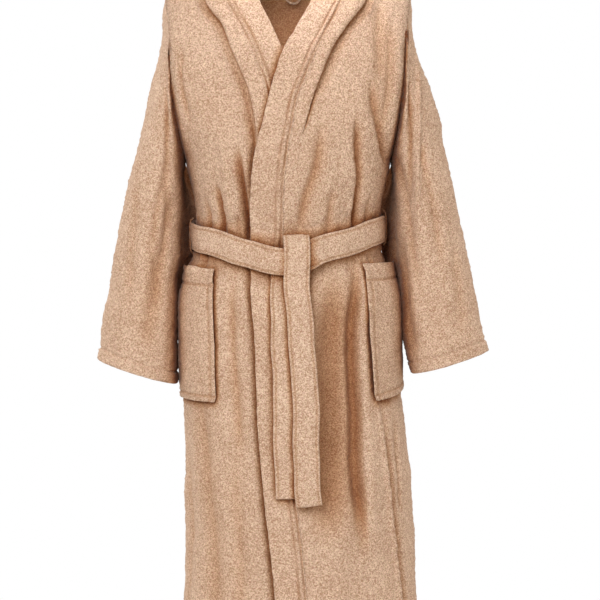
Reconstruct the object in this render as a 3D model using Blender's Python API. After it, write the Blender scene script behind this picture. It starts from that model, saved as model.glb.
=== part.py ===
# Hooded terry bathrobe, tied at the waist and filled out as if worn, with nobody in it.
# Metres, +Z up. The front faces -Y and the wearer's left is +X.
# The origin lies between the shoulders, at the height of the neck points, where a wearer carries it.

import math
from bisect import bisect_right

import bmesh
import bpy
from mathutils import Vector

# Driving sizes
CLOTH = 0.003  # terry wall
BAND_CLOTH = 0.004  # the bands are folded double
BELT_CLOTH = 0.0045
BELT_WIDTH = 0.043
TAIL_WIDTH = 0.041
LOOP_CLOTH = 0.0015
LOOP_WIDTH = 0.004
SEAM_GAP = 0.0003
HEM = -1.16  # height of the hem below the neck points
ARMPIT = -0.295
RIDGE_TOP = 0.035  # where the shoulder ridge would meet the middle
SHOULDER_TIP = -0.038
ARMHOLE_HALF_DEPTH = 0.075
NECK_HALF_WIDTH = 0.088
NAPE_ROW = 0.247  # how far down the back the nape lies, in rows: 0 is the ridge, 1 the armpit
RIDGE_ROUNDING = 0.15
BACK_EDGE = 90.001  # angle of the back panel's armhole edge, a hair behind the side
LAYER = 0.0050  # the wearer's left front lies this far outside the right one
LAYER_EASE = 0.004, 0.036  # and settles back past the covered edge, from and over these distances
TUCK = 0.0030  # the right front is drawn in this far where it is covered
TUCK_EASE = 0.012
TUCK_TOP = -0.26
BELT_GAP = 0.0010
CINCH_EASE = 0.030  # the cloth swells out again this far above and below the belt

TERRY = (0.60, 0.40, 0.27, 1)


class Table:
    # Rows of numbers under named columns, read smoothly by the first column.
    def __init__(self, names, *rows):
        self.names = names.split()
        self.rows = sorted(rows)
        self.keys = [row[0] for row in self.rows]

    def read(self, key, name):
        column = self.names.index(name)
        values = [row[column] for row in self.rows]
        if key <= self.keys[0]:
            return values[0]
        if key >= self.keys[-1]:
            return values[-1]
        steps = [
            (values[i + 1] - values[i]) / (self.keys[i + 1] - self.keys[i])
            for i in range(len(values) - 1)
        ]
        here = bisect_right(self.keys, key) - 1
        span = self.keys[here + 1] - self.keys[here]
        part = (key - self.keys[here]) / span
        start, end = slope(steps, here) * span, slope(steps, here + 1) * span
        low, high = values[here], values[here + 1]
        bend = 2 * (low - high) + start + end
        return low + part * (start + part * (3 * (high - low) - 2 * start - end + part * bend))


def slope(steps, i):
    # Slope at row i that never overshoots a row.
    if i == 0 or i == len(steps):
        return steps[min(i, len(steps) - 1)]
    before, after = steps[i - 1], steps[i]
    return 2 * before * after / (before + after) if before * after > 0 else 0.0


# Half sizes of the body at each height, the middle's shift, and how square the section is.
BODY = Table(
    "height half_width front back middle square",
    (0.035, 0.163, 0.095, 0.095, 0.0, 2.5),
    (-0.100, 0.163, 0.104, 0.104, 0.0, 2.5),
    (-0.170, 0.163, 0.110, 0.105, 0.0, 2.5),
    (-0.240, 0.163, 0.119, 0.103, 0.0, 2.5),
    (-0.295, 0.163, 0.117, 0.098, 0.0, 2.4),
    (-0.360, 0.150, 0.106, 0.092, 0.0, 2.3),
    (-0.420, 0.1475, 0.099, 0.090, 0.0, 2.2),
    (-0.470, 0.1575, 0.107, 0.100, 0.0005, 2.2),
    (-0.520, 0.1695, 0.117, 0.112, 0.001, 2.2),
    (-0.584, 0.172, 0.124, 0.121, 0.0015, 2.2),
    (-0.673, 0.1755, 0.129, 0.126, 0.0077, 2.2),
    (-0.779, 0.180, 0.132, 0.130, 0.014, 2.2),
    (-0.844, 0.182, 0.134, 0.132, 0.0174, 2.2),
    (-0.909, 0.184, 0.136, 0.134, 0.019, 2.2),
    (-1.007, 0.188, 0.138, 0.137, 0.019, 2.2),
    (-1.160, 0.194, 0.142, 0.141, 0.020, 2.2),
)
# Where the armhole seam stands out to the side.
ARMHOLE = Table(
    "height out",
    (-0.038, 0.194),
    (-0.096, 0.185),
    (-0.164, 0.182),
    (-0.2245, 0.1754),
    (-0.2785, 0.166),
    (-0.295, 0.163),
)
# The side seam's angle from the centre front: it swings behind the hips.
SIDE_SEAM = Table("height angle", (ARMPIT, 90), (-0.40, 94), (-0.455, 109), (-0.56, 112), (HEM, 110))
# Leading edge, band seam and outer edge of the soft roll, as distances to the wearer's left.
LEFT_FRONT = Table(
    "height edge seam roll",
    (0.002, 0.060, 0.088, 0.128),
    (-0.052, 0.036, 0.085, 0.123),
    (-0.090, 0.0145, 0.0645, 0.088),
    (-0.128, -0.007, 0.045, 0.0645),
    (-0.165, -0.019, 0.029, 0.050),
    (-0.204, -0.030, 0.0144, 0.0359),
    (-0.243, -0.0393, 0.007, 0.0265),
    (-0.281, -0.050, 0.0006, 0.015),
    (-0.342, -0.056, -0.006, 0.012),
    (-0.419, -0.058, -0.0072, 0.012),
    (-0.468, -0.058, -0.008, 0.012),
    (-0.573, -0.0504, -0.0015, 0.0185),
    (-0.6975, -0.046, 0.003, 0.023),
    (-0.8225, -0.0353, 0.0135, 0.0335),
    (-0.917, -0.0245, 0.0245, 0.0445),
    (-0.980, -0.019, 0.030, 0.050),
    (-1.160, -0.004, 0.045, 0.065),
)
# The same for the right front, measured to the wearer's right.
RIGHT_FRONT = Table(
    "height edge seam roll",
    (0.002, 0.060, 0.088, 0.128),
    (-0.052, 0.0425, 0.0914, 0.1222),
    (-0.090, 0.0241, 0.073, 0.097),
    (-0.128, 0.007, 0.054, 0.083),
    (-0.150, -0.003, 0.045, 0.0733),
    (-0.189, -0.017, 0.031, 0.058),
    (-0.220, -0.026, 0.023, 0.052),
    (-0.250, -0.034, 0.015, 0.047),
    (-0.281, -0.042, 0.008, 0.043),
    (-0.342, -0.052, -0.002, 0.030),
    (-0.419, -0.056, -0.006, 0.018),
    (-0.600, -0.058, -0.008, 0.014),
    (-1.160, -0.075, -0.025, -0.005),
)
# How far the soft roll beside each band stands off the chest.
ROLL = Table(
    "height left right",
    (0.002, 0.015, 0.015),
    (-0.052, 0.015, 0.0145),
    (-0.100, 0.013, 0.012),
    (-0.150, 0.0105, 0.010),
    (-0.200, 0.008, 0.008),
    (-0.240, 0.005, 0.006),
    (-0.280, 0.002, 0.004),
    (-0.320, 0.0, 0.0),
)
ROLL_STEP = 0.0035  # the roll's outer side drops to the chest within this width
ROLL_AT_EDGE, ROLL_AT_SEAM = 0.4, 0.8  # shares of the roll's height at the edge and the band seam

# Folds run down between two heights, through three angles from the centre front.
# A negative depth is a ridge; the width is half of it, in degrees.
FOLDS = (
    # top, bottom, top angle, middle angle, bottom angle, depth, width
    (-0.420, -0.930, 40.5, 31.8, 30.0, 0.013, 2.8),
    (-0.600, -1.200, 49.0, 52.0, 58.0, -0.006, 5.0),
    (-0.690, -0.900, 57.5, 58.0, 59.0, 0.004, 2.5),
    (-0.110, -0.450, 39.0, 41.0, 43.0, 0.006, 3.5),
    (-0.220, -0.410, 50.0, 57.0, 66.0, 0.004, 3.2),
    (-0.320, -0.440, -42.0, -42.0, -41.0, 0.004, 4.0),
    (-0.270, -0.450, -29.0, -26.0, -22.0, 0.007, 3.5),
    (-0.460, -0.780, -11.0, -12.5, -14.0, 0.003, 2.5),
    (-0.480, -1.250, -36.0, -34.0, -33.0, 0.007, 8.0),
    (-0.700, -1.300, -55.0, -56.0, -57.0, -0.004, 7.0),
    (-0.700, -1.300, -72.0, -73.0, -73.0, 0.005, 5.0),
    (-0.430, -1.200, 150.0, 147.0, 145.0, 0.011, 5.0),
    (-0.430, -1.300, 172.0, 171.0, 170.0, 0.010, 5.5),
    (-0.430, -1.250, 196.0, 198.0, 200.0, 0.011, 5.0),
    (-0.440, -1.100, 218.0, 221.0, 223.0, 0.008, 5.0),
    (-0.450, -1.200, 122.0, 121.0, 120.0, 0.008, 4.5),
    (-0.450, -1.200, -122.0, -121.0, -120.0, 0.008, 4.5),
    (-0.200, -0.430, 161.0, 158.0, 156.0, 0.006, 5.0),
    (-0.180, -0.430, 184.0, 187.0, 188.0, 0.006, 5.0),
    (-0.230, -0.430, 205.0, 207.0, 209.0, 0.005, 4.5),
)
# Angles that the columns of each front follow, so that its deepest fold lies on one of them.
COLUMN_GUIDE = Table(
    "height left right",
    (0.002, 58, 58),
    (-0.052, 54, 54),
    (-0.100, 46, 46),
    (-0.160, 40.5, 38),
    (-0.280, 41, 30),
    (-0.400, 43, 24),
    (-0.460, 39, 26),
    (-0.560, 34.5, 35),
    (-0.700, 31.2, 35),
    (-0.860, 30.2, 34),
    (-1.160, 29.5, 33),
)
COLUMN_SPREAD = 5.5, 2.4
SIDE_COLUMNS = 6

# Outer and inner points of each sleeve down the arm, with its half depth and how far forward it hangs.
# Each row is out and height of the outer point, out and height of the inner one. Lean: how far the
# rear half is swung in behind the body, so that no gap shows beside the waist from the front.
LEFT_SLEEVE = (
    # outer out, outer height, inner out, inner height, half depth, forward, lean
    (0.1940, -0.038, 0.1630, -0.295, 0.075, 0.000, 0.000),
    (0.1995, -0.100, 0.1645, -0.306, 0.075, 0.000, 0.000),
    (0.2100, -0.145, 0.1665, -0.319, 0.074, 0.000, 0.004),
    (0.2235, -0.178, 0.1680, -0.336, 0.073, 0.001, 0.020),
    (0.2373, -0.2245, 0.1695, -0.358, 0.071, 0.002, 0.044),
    (0.2504, -0.280, 0.1715, -0.392, 0.068, 0.004, 0.058),
    (0.2640, -0.338, 0.1735, -0.428, 0.064, 0.007, 0.066),
    (0.2749, -0.400, 0.1765, -0.470, 0.060, 0.010, 0.058),
    (0.2881, -0.456, 0.1793, -0.515, 0.057, 0.013, 0.032),
    (0.2997, -0.516, 0.1815, -0.562, 0.055, 0.016, 0.016),
    (0.3085, -0.558, 0.1870, -0.598, 0.054, 0.018, 0.014),
    (0.3178, -0.599, 0.1975, -0.636, 0.053, 0.020, 0.014),
)
RIGHT_SLEEVE = (
    (0.1940, -0.038, 0.1630, -0.295, 0.075, 0.000, 0.000),
    (0.1990, -0.095, 0.1645, -0.306, 0.075, 0.000, 0.000),
    (0.2085, -0.145, 0.1660, -0.319, 0.074, 0.000, 0.004),
    (0.2210, -0.200, 0.1670, -0.340, 0.073, 0.001, 0.022),
    (0.2362, -0.264, 0.1680, -0.372, 0.071, 0.002, 0.048),
    (0.2525, -0.320, 0.1695, -0.410, 0.068, 0.004, 0.060),
    (0.2625, -0.370, 0.1720, -0.447, 0.064, 0.007, 0.064),
    (0.2730, -0.430, 0.1765, -0.492, 0.060, 0.010, 0.048),
    (0.2830, -0.492, 0.1785, -0.542, 0.057, 0.013, 0.026),
    (0.2945, -0.552, 0.1805, -0.594, 0.054, 0.017, 0.012),
    (0.3055, -0.612, 0.1850, -0.652, 0.052, 0.020, 0.012),
)
SLEEVE_SIDES = 22
LEAN_POWER = 1.5, 3.0  # how soon the lean fades from the rear line, to the inner and the outer side
CAP_FADE = 1, 0.55, 0.2, 0  # how much of the armhole's own outline each ring near it keeps

# The dropped hood by its share of the way from the nape (0) to the shoulder ridge (1).
# Fold: where its pouch turns, as a distance out and a row. Seam and edge: its band, behind the neck.
HOOD = Table(
    "share fold_out fold_row seam_x seam_y seam_z edge_x edge_y edge_z bulge",
    (0.00, 0.000, 1.03, 0.000, 0.172, -0.040, 0.000, 0.150, 0.004, 0.060),
    (0.25, 0.078, 0.93, 0.066, 0.158, -0.026, 0.051, 0.135, 0.016, 0.056),
    (0.50, 0.132, 0.60, 0.112, 0.115, -0.002, 0.083, 0.096, 0.033, 0.040),
    (0.75, 0.150, 0.22, 0.118, 0.058, 0.011, 0.080, 0.050, 0.039, 0.022),
    (1.00, 0.128, 0.00, 0.093, 0.000, 0.018, 0.0625, 0.000, 0.026, 0.010),
)
HOOD_COLUMNS = 7
# The hood's foot stands up from the neck seam and turns over: along the neck, and off the back.
HOOD_STAND = ((0.0003, -0.0015), (0.0070, -0.0012), (0.0108, 0.0022), (0.0075, 0.0056), (0.0, 0.0046))
HOOD_OFF_BACK = 0.0085
HOOD_UNDER = (0.12, 0.28, 0.44, 0.62, 0.8, 0.95)
HOOD_OUTER = (0.2, 0.4, 0.6, 0.8, 1.0)
HOOD_TURN = 0.012, 0.0045  # radius of the pouch's turn, at the middle and at the shoulder

# Pocket edges: distance of the inner edge to the side at the top and bottom, and the heights.
POCKETS = {
    "left": {"inner": (0.117, 0.131), "top": -0.461, "bottom": -0.670},
    "right": {"inner": (0.116, 0.110), "top": -0.468, "bottom": -0.673},
}
POCKET_BEFORE_SEAM = 3.5  # degrees from the rear edge to the side seam
POCKET_SWELL = 0.003
POCKET_OFF = 0.0010
POCKET_LOOK = -3, 0, 3  # it clears the highest ridge this many degrees to each side
POCKET_HEM = 0.0008
POCKET_ROWS = (0, 0.05, 0.1, 0.3, 0.5, 0.7, 0.88, 1)

# Height of the belt's middle by its angle round the waist.
BELT_LINE = Table(
    "angle height",
    (-90, -0.417),
    (-62, -0.421),
    (-40, -0.430),
    (-23, -0.4423),
    (-3.5, -0.4540),
    (8, -0.4475),
    (17, -0.4365),
    (40, -0.4238),
    (62, -0.412),
    (90, -0.403),
    (135, -0.398),
    (180, -0.396),
    (225, -0.402),
    (270, -0.417),
)
BELT_ENDS = 4.6, 367.6  # angles of its two ends, which the long tail hides
BELT_STEP = 7.2
# The belt stands off over the fronts' overlap, and again over the short tail: how far, and the
# distances to the side where it rises from, is up at, is up until and is down by.
BELT_HUMPS = ((0.0060, -0.108, -0.066, 0.068, 0.112), (0.0070, -0.066, -0.037, 0.040, 0.068))
TAIL_STEP = 0.034
# The tails by height: their middle, and how far the cloth's middle stands off the body.
LONG_TAIL = Table(
    "height middle off",
    (-0.4225, 0.0144, 0.0226),
    (-0.480, 0.0152, 0.0222),
    (-0.509, 0.0160, 0.0190),
    (-0.5775, 0.0205, 0.0156),
    (-0.627, 0.0250, 0.0150),
    (-0.672, 0.0274, 0.0150),
    (-0.789, 0.0293, 0.0150),
    (-0.829, 0.0328, 0.0150),
)
SHORT_TAIL = Table(
    "height middle off",
    (-0.437, -0.0080, 0.0091),
    (-0.510, -0.0065, 0.0091),
    (-0.665, -0.0024, 0.0093),
    (-0.818, 0.0020, 0.0093),
)
# A belt loop's line: height from the belt's middle, and its share of the way out past the belt.
LOOP_ANGLE = 89
LOOP_LINE = ((0.033, 0), (0.029, 0), (0.0255, 1), (0, 1), (-0.0255, 1), (-0.029, 0.3), (-0.033, 0.3))
# The hanging loop: its middle and half width, and its top and lowest rows below the nape.
HANGER = {"middle": 0.0075, "half_width": 0.013, "top": 0.016, "low": 0.068}
# The long tail comes up behind the belt and turns over its top: distance off the body, and height.
TAIL_TURN = (
    # off, height
    (0.0085, -0.4320),
    (0.0083, -0.4215),
    (0.0096, -0.4135),
    (0.0146, -0.4095),
    (0.0200, -0.4135),
)

TOP_ROWS = (0, 0.06, 0.13, 0.20, 0.27, 0.34, 0.42, 0.51, 0.60, 0.70, 0.80, 0.90)
LOWER_HEIGHTS = (
    ARMPIT,
    -0.325,
    -0.355,
    -0.382,
    -0.408,
    -0.434,
    -0.460,
    -0.490,
    -0.525,
    -0.560,
    -0.600,
    -0.645,
    -0.690,
    -0.740,
    -0.790,
    -0.840,
    -0.890,
    -0.950,
    -1.010,
    -1.065,
    -1.115,
    HEM,
)


def mix(start, end, part):
    return start + (end - start) * part


def ease(part):
    part = min(1.0, max(0.0, part))
    return part * part * (3 - 2 * part)


def row_at(height):
    return 1 + (ARMPIT - height) / (ARMPIT - HEM)


ROWS = TOP_ROWS + tuple(row_at(height) for height in LOWER_HEIGHTS)


def belt_height(angle):
    return BELT_LINE.read((angle + 90) % 360 - 90, "height")


def cinched(angle, height):
    # Under the belt the cloth is drawn in flat: the sizes there are those at the belt's middle.
    away = height - belt_height(angle)
    return height - away + away * ease((abs(away) - BELT_WIDTH / 2 - 0.003) / CINCH_EASE)


def body_point(angle, row):
    # A point of the body's plain form. Angle: degrees from the centre front towards the wearer's
    # left. Row: 0 at the shoulder ridge, 1 at the armpit, 2 at the hem.
    turn = math.radians(angle)
    across = math.sin(turn)
    facing = "front" if math.cos(turn) > 0 else "back"
    if row >= 1:
        height = ARMPIT + (row - 1) * (HEM - ARMPIT)
        size = cinched(angle, height)
        square = BODY.read(size, "square")
        depth = BODY.read(size, facing)
        reach = (1 - min(1, abs(across)) ** square) ** (1 / square)
        x = BODY.read(size, "middle") + BODY.read(size, "half_width") * across
        return Vector((x, -depth * reach if facing == "front" else depth * reach, height))
    drop = (1 - math.cos(math.pi * row)) / 2
    swell = math.sin(math.pi * min(row, 0.5))
    middle_height = mix(RIDGE_TOP, ARMPIT, drop)
    tip_height = mix(SHOULDER_TIP, ARMPIT, drop)
    square = BODY.read(middle_height, "square")
    depth = BODY.read(middle_height, facing)
    hole = ARMHOLE.read(tip_height, "out")
    share = ARMHOLE_HALF_DEPTH / depth * (math.sin(math.pi * row) if row > 0.5 else 1)
    half = hole / (1 - share**square) ** (1 / square)
    x = hole * across
    reach = depth * swell * (1 - min(1, abs(x) / half) ** square) ** (1 / square)
    slant = math.hypot(across, RIDGE_ROUNDING) - RIDGE_ROUNDING
    slant /= math.hypot(1, RIDGE_ROUNDING) - RIDGE_ROUNDING
    return Vector((x, -reach if facing == "front" else reach, mix(middle_height, tip_height, slant)))


def body_normal(angle, row, armhole=False):
    # Outward direction of the plain form. On the armhole seam it follows the hole's own curve, so
    # that the panel and the sleeve meet edge to edge.
    if armhole:
        side = 1 if math.sin(math.radians(angle)) > 0 else -1
        back = -1 if armhole == "front" else 1
        up, out = math.cos(math.pi * row), math.sin(math.pi * row)
        return Vector((0.45 * side * max(0, up), back * out, up)).normalized()
    around = body_point(angle + 0.1, row) - body_point(angle - 0.1, row)
    down = body_point(angle, min(row + 0.004, 2)) - body_point(angle, max(row - 0.004, 0))
    return down.cross(around).normalized()


def half_width(row):
    return abs(body_point(90, row).x - middle_x(row))


def middle_x(row):
    return body_point(0, row).x


def angle_of(x, row):
    # Angle on the front at a distance to the side.
    return math.degrees(math.asin(max(-1, min(1, (x - middle_x(row)) / half_width(row)))))


def line_angle(table, name, side, row, shift=0.0):
    # Angle where an up-and-down line, given by height, crosses a row. Angles and distances in the
    # tables count towards the panel's own side.
    angle = 0.0
    for _ in range(16):
        x = table.read(body_point(angle, row).z, name) + shift
        angle = angle_of(side * x, row)
    return angle


def guide_angle(side, row):
    angle = 40.0
    for _ in range(10):
        height = body_point(side * angle, row).z
        angle = COLUMN_GUIDE.read(height, "left" if side > 0 else "right")
    return side * angle


def fold_depth(angle, height):
    total = 0.0
    for top, bottom, first, second, third, depth, width in FOLDS:
        part = (top - height) / (top - bottom)
        if not 0 < part < 1:
            continue
        centre = (
            first * (1 - part) * (1 - 2 * part)
            + second * 4 * part * (1 - part)
            + third * part * (2 * part - 1)
        )
        away = (angle - centre + 180) % 360 - 180
        ends = ease(part / 0.22) * ease((1 - part) / 0.3)
        total += depth * ends * math.exp(-((away / width) ** 2))
    return total


def roll_height(side, x, height):
    # Height of the soft roll beside a band, x counted towards the panel's own side.
    table, name = (LEFT_FRONT, "left") if side > 0 else (RIGHT_FRONT, "right")
    full = ROLL.read(height, name)
    edge, seam, roll = (table.read(height, column) for column in ("edge", "seam", "roll"))
    if x <= seam:
        share = mix(ROLL_AT_EDGE, ROLL_AT_SEAM, ease((x - edge) / (seam - edge)))
    elif x <= roll:
        share = mix(ROLL_AT_SEAM, 1, ease((x - seam) / (roll - seam)))
    else:
        share = 1 - ease((x - roll) / ROLL_STEP)
    return full * share


def front_lift(side, x, height):
    # How far a front's outer face stands off the plain form, without folds. The wearer's left
    # front also clears the right one, as far as that reaches.
    own = roll_height(side, side * x, height)
    if side < 0:
        covered = ease((x - LEFT_FRONT.read(height, "edge")) / TUCK_EASE)
        return own - TUCK * covered * ease((TUCK_TOP - height) / 0.05)
    reach = -RIGHT_FRONT.read(height, "edge")
    cover = 1 - ease((x - reach - LAYER_EASE[0]) / LAYER_EASE[1])
    under = roll_height(-1, -min(x, reach), height)
    return max(own, cover * (LAYER + under))


def cloth_point(angle, row, off, armhole=False):
    return body_point(angle, row) + body_normal(angle, row, armhole) * off


def shell(name, outer, inner, wrap=False):
    # One closed body from two grids of points, with an edge wall round them.
    mesh_data = bmesh.new()
    grids = [[[mesh_data.verts.new(point) for point in line] for line in grid] for grid in (outer, inner)]
    lines, columns = len(outer), len(outer[0])
    last = columns if wrap else columns - 1
    for grid in grids:
        for i in range(lines - 1):
            for j in range(last):
                k = (j + 1) % columns
                mesh_data.faces.new((grid[i][j], grid[i][k], grid[i + 1][k], grid[i + 1][j]))
    out, inn = grids
    for i in (0, lines - 1):
        for j in range(last):
            k = (j + 1) % columns
            mesh_data.faces.new((out[i][j], out[i][k], inn[i][k], inn[i][j]))
    if not wrap:
        for j in (0, columns - 1):
            for i in range(lines - 1):
                mesh_data.faces.new((out[i][j], out[i + 1][j], inn[i + 1][j], inn[i][j]))
    return finish(name, mesh_data)


def finish(name, mesh_data):
    bmesh.ops.recalc_face_normals(mesh_data, faces=mesh_data.faces)
    if mesh_data.calc_volume(signed=True) < 0:
        bmesh.ops.reverse_faces(mesh_data, faces=mesh_data.faces)
    mesh = bpy.data.meshes.new(name)
    mesh_data.to_mesh(mesh)
    mesh_data.free()
    mesh.shade_smooth()
    mesh.set_sharp_from_angle(angle=math.radians(50))
    mesh.materials.append(terry())
    piece = bpy.data.objects.new(name, mesh)
    bpy.context.scene.collection.objects.link(piece)
    return piece


def terry():
    material = bpy.data.materials.get("terry")
    if material is None:
        material = bpy.data.materials.new("terry")
        material.use_nodes = True
        shader = material.node_tree.nodes["Principled BSDF"]
        shader.inputs["Base Color"].default_value = TERRY
        shader.inputs["Roughness"].default_value = 1.0
        shader.inputs["Metallic"].default_value = 0.0
        material.diffuse_color = TERRY
    return material


def trim(outer, inner, sides, amount=SEAM_GAP / 2):
    # Draws the named sides of a piece back from its seams.
    lines, columns = len(outer) - 1, len(outer[0]) - 1
    moves = []
    for side in sides:
        if side in ("top", "bottom"):
            i, step = (0, 1) if side == "top" else (lines, -1)
            moves += [(i, j, outer[i + step][j] - outer[i][j]) for j in range(columns + 1)]
        else:
            j, step = (0, 1) if side == "first" else (columns, -1)
            moves += [(i, j, outer[i][j + step] - outer[i][j]) for i in range(lines + 1)]
    for i, j, way in moves:
        shift = way.normalized() * amount
        outer[i][j] = outer[i][j] + shift
        inner[i][j] = inner[i][j] + shift


def seam_angle(side, row):
    return side * (90 if row <= 1 else SIDE_SEAM.read(body_point(0, row).z, "angle"))


def front_columns(side, row):
    table = LEFT_FRONT if side > 0 else RIGHT_FRONT
    seam = line_angle(table, "seam", side, row)
    roll = line_angle(table, "roll", side, row)
    crest = line_angle(table, "roll", side, row, -0.005)
    foot = line_angle(table, "roll", side, row, ROLL_STEP)
    guide = guide_angle(side, row)
    wide, near = (side * spread for spread in COLUMN_SPREAD)
    end = seam_angle(side, row)
    columns = [seam, mix(seam, crest, 0.5), crest, roll, foot]
    columns += [mix(foot, guide - wide, part) for part in (0.33, 0.67)]
    columns += [guide - wide, guide - near, guide, guide + near, guide + wide]
    columns += [mix(guide + wide, end, i / SIDE_COLUMNS) for i in range(1, SIDE_COLUMNS + 1)]
    return columns


def front(side, name):
    outer, inner = [], []
    for row in ROWS:
        columns = front_columns(side, row)
        outside, inside = [], []
        for angle in columns:
            place = body_point(angle, row)
            hole = "front" if row <= 1 and angle == columns[-1] else False
            lift = front_lift(side, place.x, place.z) - fold_depth(angle, place.z)
            outside.append(cloth_point(angle, row, lift, hole))
            inside.append(cloth_point(angle, row, lift - CLOTH, hole))
        outer.append(outside)
        inner.append(inside)
    trim(outer, inner, ("top", "first", "last"))
    return shell(name, outer, inner)


def band(side, name):
    table = LEFT_FRONT if side > 0 else RIGHT_FRONT
    proud = (BAND_CLOTH - CLOTH) / 1.3
    outer, inner = [], []
    for row in ROWS:
        edge = line_angle(table, "edge", side, row)
        seam = line_angle(table, "seam", side, row)
        outside, inside = [], []
        for part in (0, 0.12, 0.5, 1):
            angle = mix(edge, seam, part)
            place = body_point(angle, row)
            lift = front_lift(side, place.x, place.z) - fold_depth(angle, place.z) + proud
            outside.append(cloth_point(angle, row, lift))
            inside.append(cloth_point(angle, row, lift - BAND_CLOTH))
        outer.append(outside)
        inner.append(inside)
    trim(outer, inner, ("top", "last"))
    return shell(name, outer, inner)


def neck_columns():
    # Angle and row of each point of the neck seam on the wearer's left, from the ridge to the nape.
    points = []
    for i in range(HOOD_COLUMNS + 1):
        turn = math.radians(90 * i / HOOD_COLUMNS)
        row = NAPE_ROW * math.sin(turn)
        points.append((180 - angle_of(NECK_HALF_WIDTH * math.cos(turn), row), row))
    return points


def back(name):
    neck = neck_columns()
    shoulder = [(mix(BACK_EDGE, neck[0][0], i / 8), 0.0) for i in range(8)]
    half = shoulder + neck
    columns = half + [(360 - angle, row) for angle, row in reversed(half[:-1])]
    outer, inner = [], []
    for row in ROWS[:8] + ROWS[9:]:
        start = seam_angle(1, row)
        outside, inside = [], []
        for angle, top in columns:
            spot = mix(top, 1, row) if row < 1 else row
            hole = "back" if row <= 1 and angle in (BACK_EDGE, 360 - BACK_EDGE) else False
            if row > 1:
                angle = mix(start, 360 - start, (angle - BACK_EDGE) / (360 - 2 * BACK_EDGE))
            lift = -fold_depth(angle, body_point(angle, spot).z)
            outside.append(cloth_point(angle, spot, lift, hole))
            inside.append(cloth_point(angle, spot, lift - CLOTH, hole))
        outer.append(outside)
        inner.append(inside)
    trim(outer, inner, ("top", "first", "last"))
    return shell(name, outer, inner)


def sleeve(side, name, rings):
    grid = []
    for k, (top_x, top_z, low_x, low_z, half_depth, forward, lean) in enumerate(rings):
        top, low = Vector((top_x, -forward, top_z)), Vector((low_x, -forward, low_z))
        middle, arm = (top + low) / 2, (top - low) / 2
        ring = []
        for i in range(SLEEVE_SIDES):
            turn = 2 * math.pi * i / SLEEVE_SIDES
            point = middle + arm * math.cos(turn) + Vector((0, -half_depth * math.sin(turn), 0))
            hole = body_point(90, sleeve_row(i)).x
            fade = CAP_FADE[min(k, 3)]
            point.x += fade * (hole - mix(rings[0][0], rings[0][2], (1 - math.cos(turn)) / 2))
            point.x -= lean * max(0, -math.sin(turn)) ** LEAN_POWER[turn > 1.5 * math.pi]
            ring.append(point)
        grid.append(ring)
    outer, inner = [], []
    for k, ring in enumerate(grid):
        outside, inside = [], []
        for i, point in enumerate(ring):
            around = ring[(i + 1) % SLEEVE_SIDES] - ring[i - 1]
            down = grid[min(k + 1, len(grid) - 1)][i] - grid[max(k - 1, 0)][i]
            way = around.cross(down)
            if k == 0:
                way = body_normal(90, sleeve_row(i), "front" if i <= SLEEVE_SIDES / 2 else "back")
                point = point + Vector((SEAM_GAP, 0, 0))
            inward = point - way.normalized() * CLOTH
            outside.append(Vector((side * point.x, point.y, point.z)))
            inside.append(Vector((side * inward.x, inward.y, inward.z)))
        outer.append(outside)
        inner.append(inside)
    trim(outer, inner, ("top",))
    return shell(name, outer, inner, wrap=True)


def sleeve_row(i):
    # Row of the armhole that a side of the sleeve starts from: 0 at its top, 1 at the armpit.
    return 1 - abs(1 - 2 * i / SLEEVE_SIDES)


def bezier(a, b, c, d, part):
    rest = 1 - part
    return a * rest**3 + b * 3 * rest**2 * part + c * 3 * rest * part**2 + d * part**3


def hood_section(share, angle, row, way):
    # Middle line of the cloth from the neck seam, down the back, round the pouch and up to the edge.
    seat, normal = body_point(angle, row), body_normal(angle, row)
    line = [seat + way * along + normal * off for along, off in HOOD_STAND]
    fold_row = HOOD.read(share, "fold_row")
    fold_angle = 180 - angle_of(HOOD.read(share, "fold_out"), fold_row)
    for part in HOOD_UNDER:
        line.append(cloth_point(mix(angle, fold_angle, part), mix(row, fold_row, part), HOOD_OFF_BACK))
    below = line[-1]
    normal = body_normal(fold_angle, fold_row)
    seam = Vector([HOOD.read(share, "seam_" + axis) for axis in "xyz"])
    edge = Vector([HOOD.read(share, "edge_" + axis) for axis in "xyz"])
    ahead = (line[-1] - line[-2]).normalized()
    bulge = HOOD.read(share, "bulge")
    radius = mix(*HOOD_TURN, share)
    centre = below + normal * radius
    for turn in (45, 90, 135, 180):
        turn = math.radians(turn)
        line.append(centre - normal * radius * math.cos(turn) + ahead * radius * math.sin(turn))
    start = line[-1]
    down = (seam - edge).normalized()
    reach = (seam - start).length
    first = start + normal * bulge - ahead * reach * 0.1
    second = seam + down * reach * 0.35 + normal * bulge * 0.2
    line += [bezier(start, first, second, seam, part) for part in HOOD_OUTER]
    line += [mix(seam, edge, 0.5), edge]
    return line


def grid_normals(grid):
    # Directions square to a grid of points, from the neighbours of each.
    lines, columns = len(grid), len(grid[0])
    found = []
    for i in range(lines):
        line = []
        for j in range(columns):
            down = grid[min(i + 1, lines - 1)][j] - grid[max(i - 1, 0)][j]
            around = grid[i][min(j + 1, columns - 1)] - grid[i][max(j - 1, 0)]
            line.append(around.cross(down).normalized())
        found.append(line)
    return found


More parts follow.
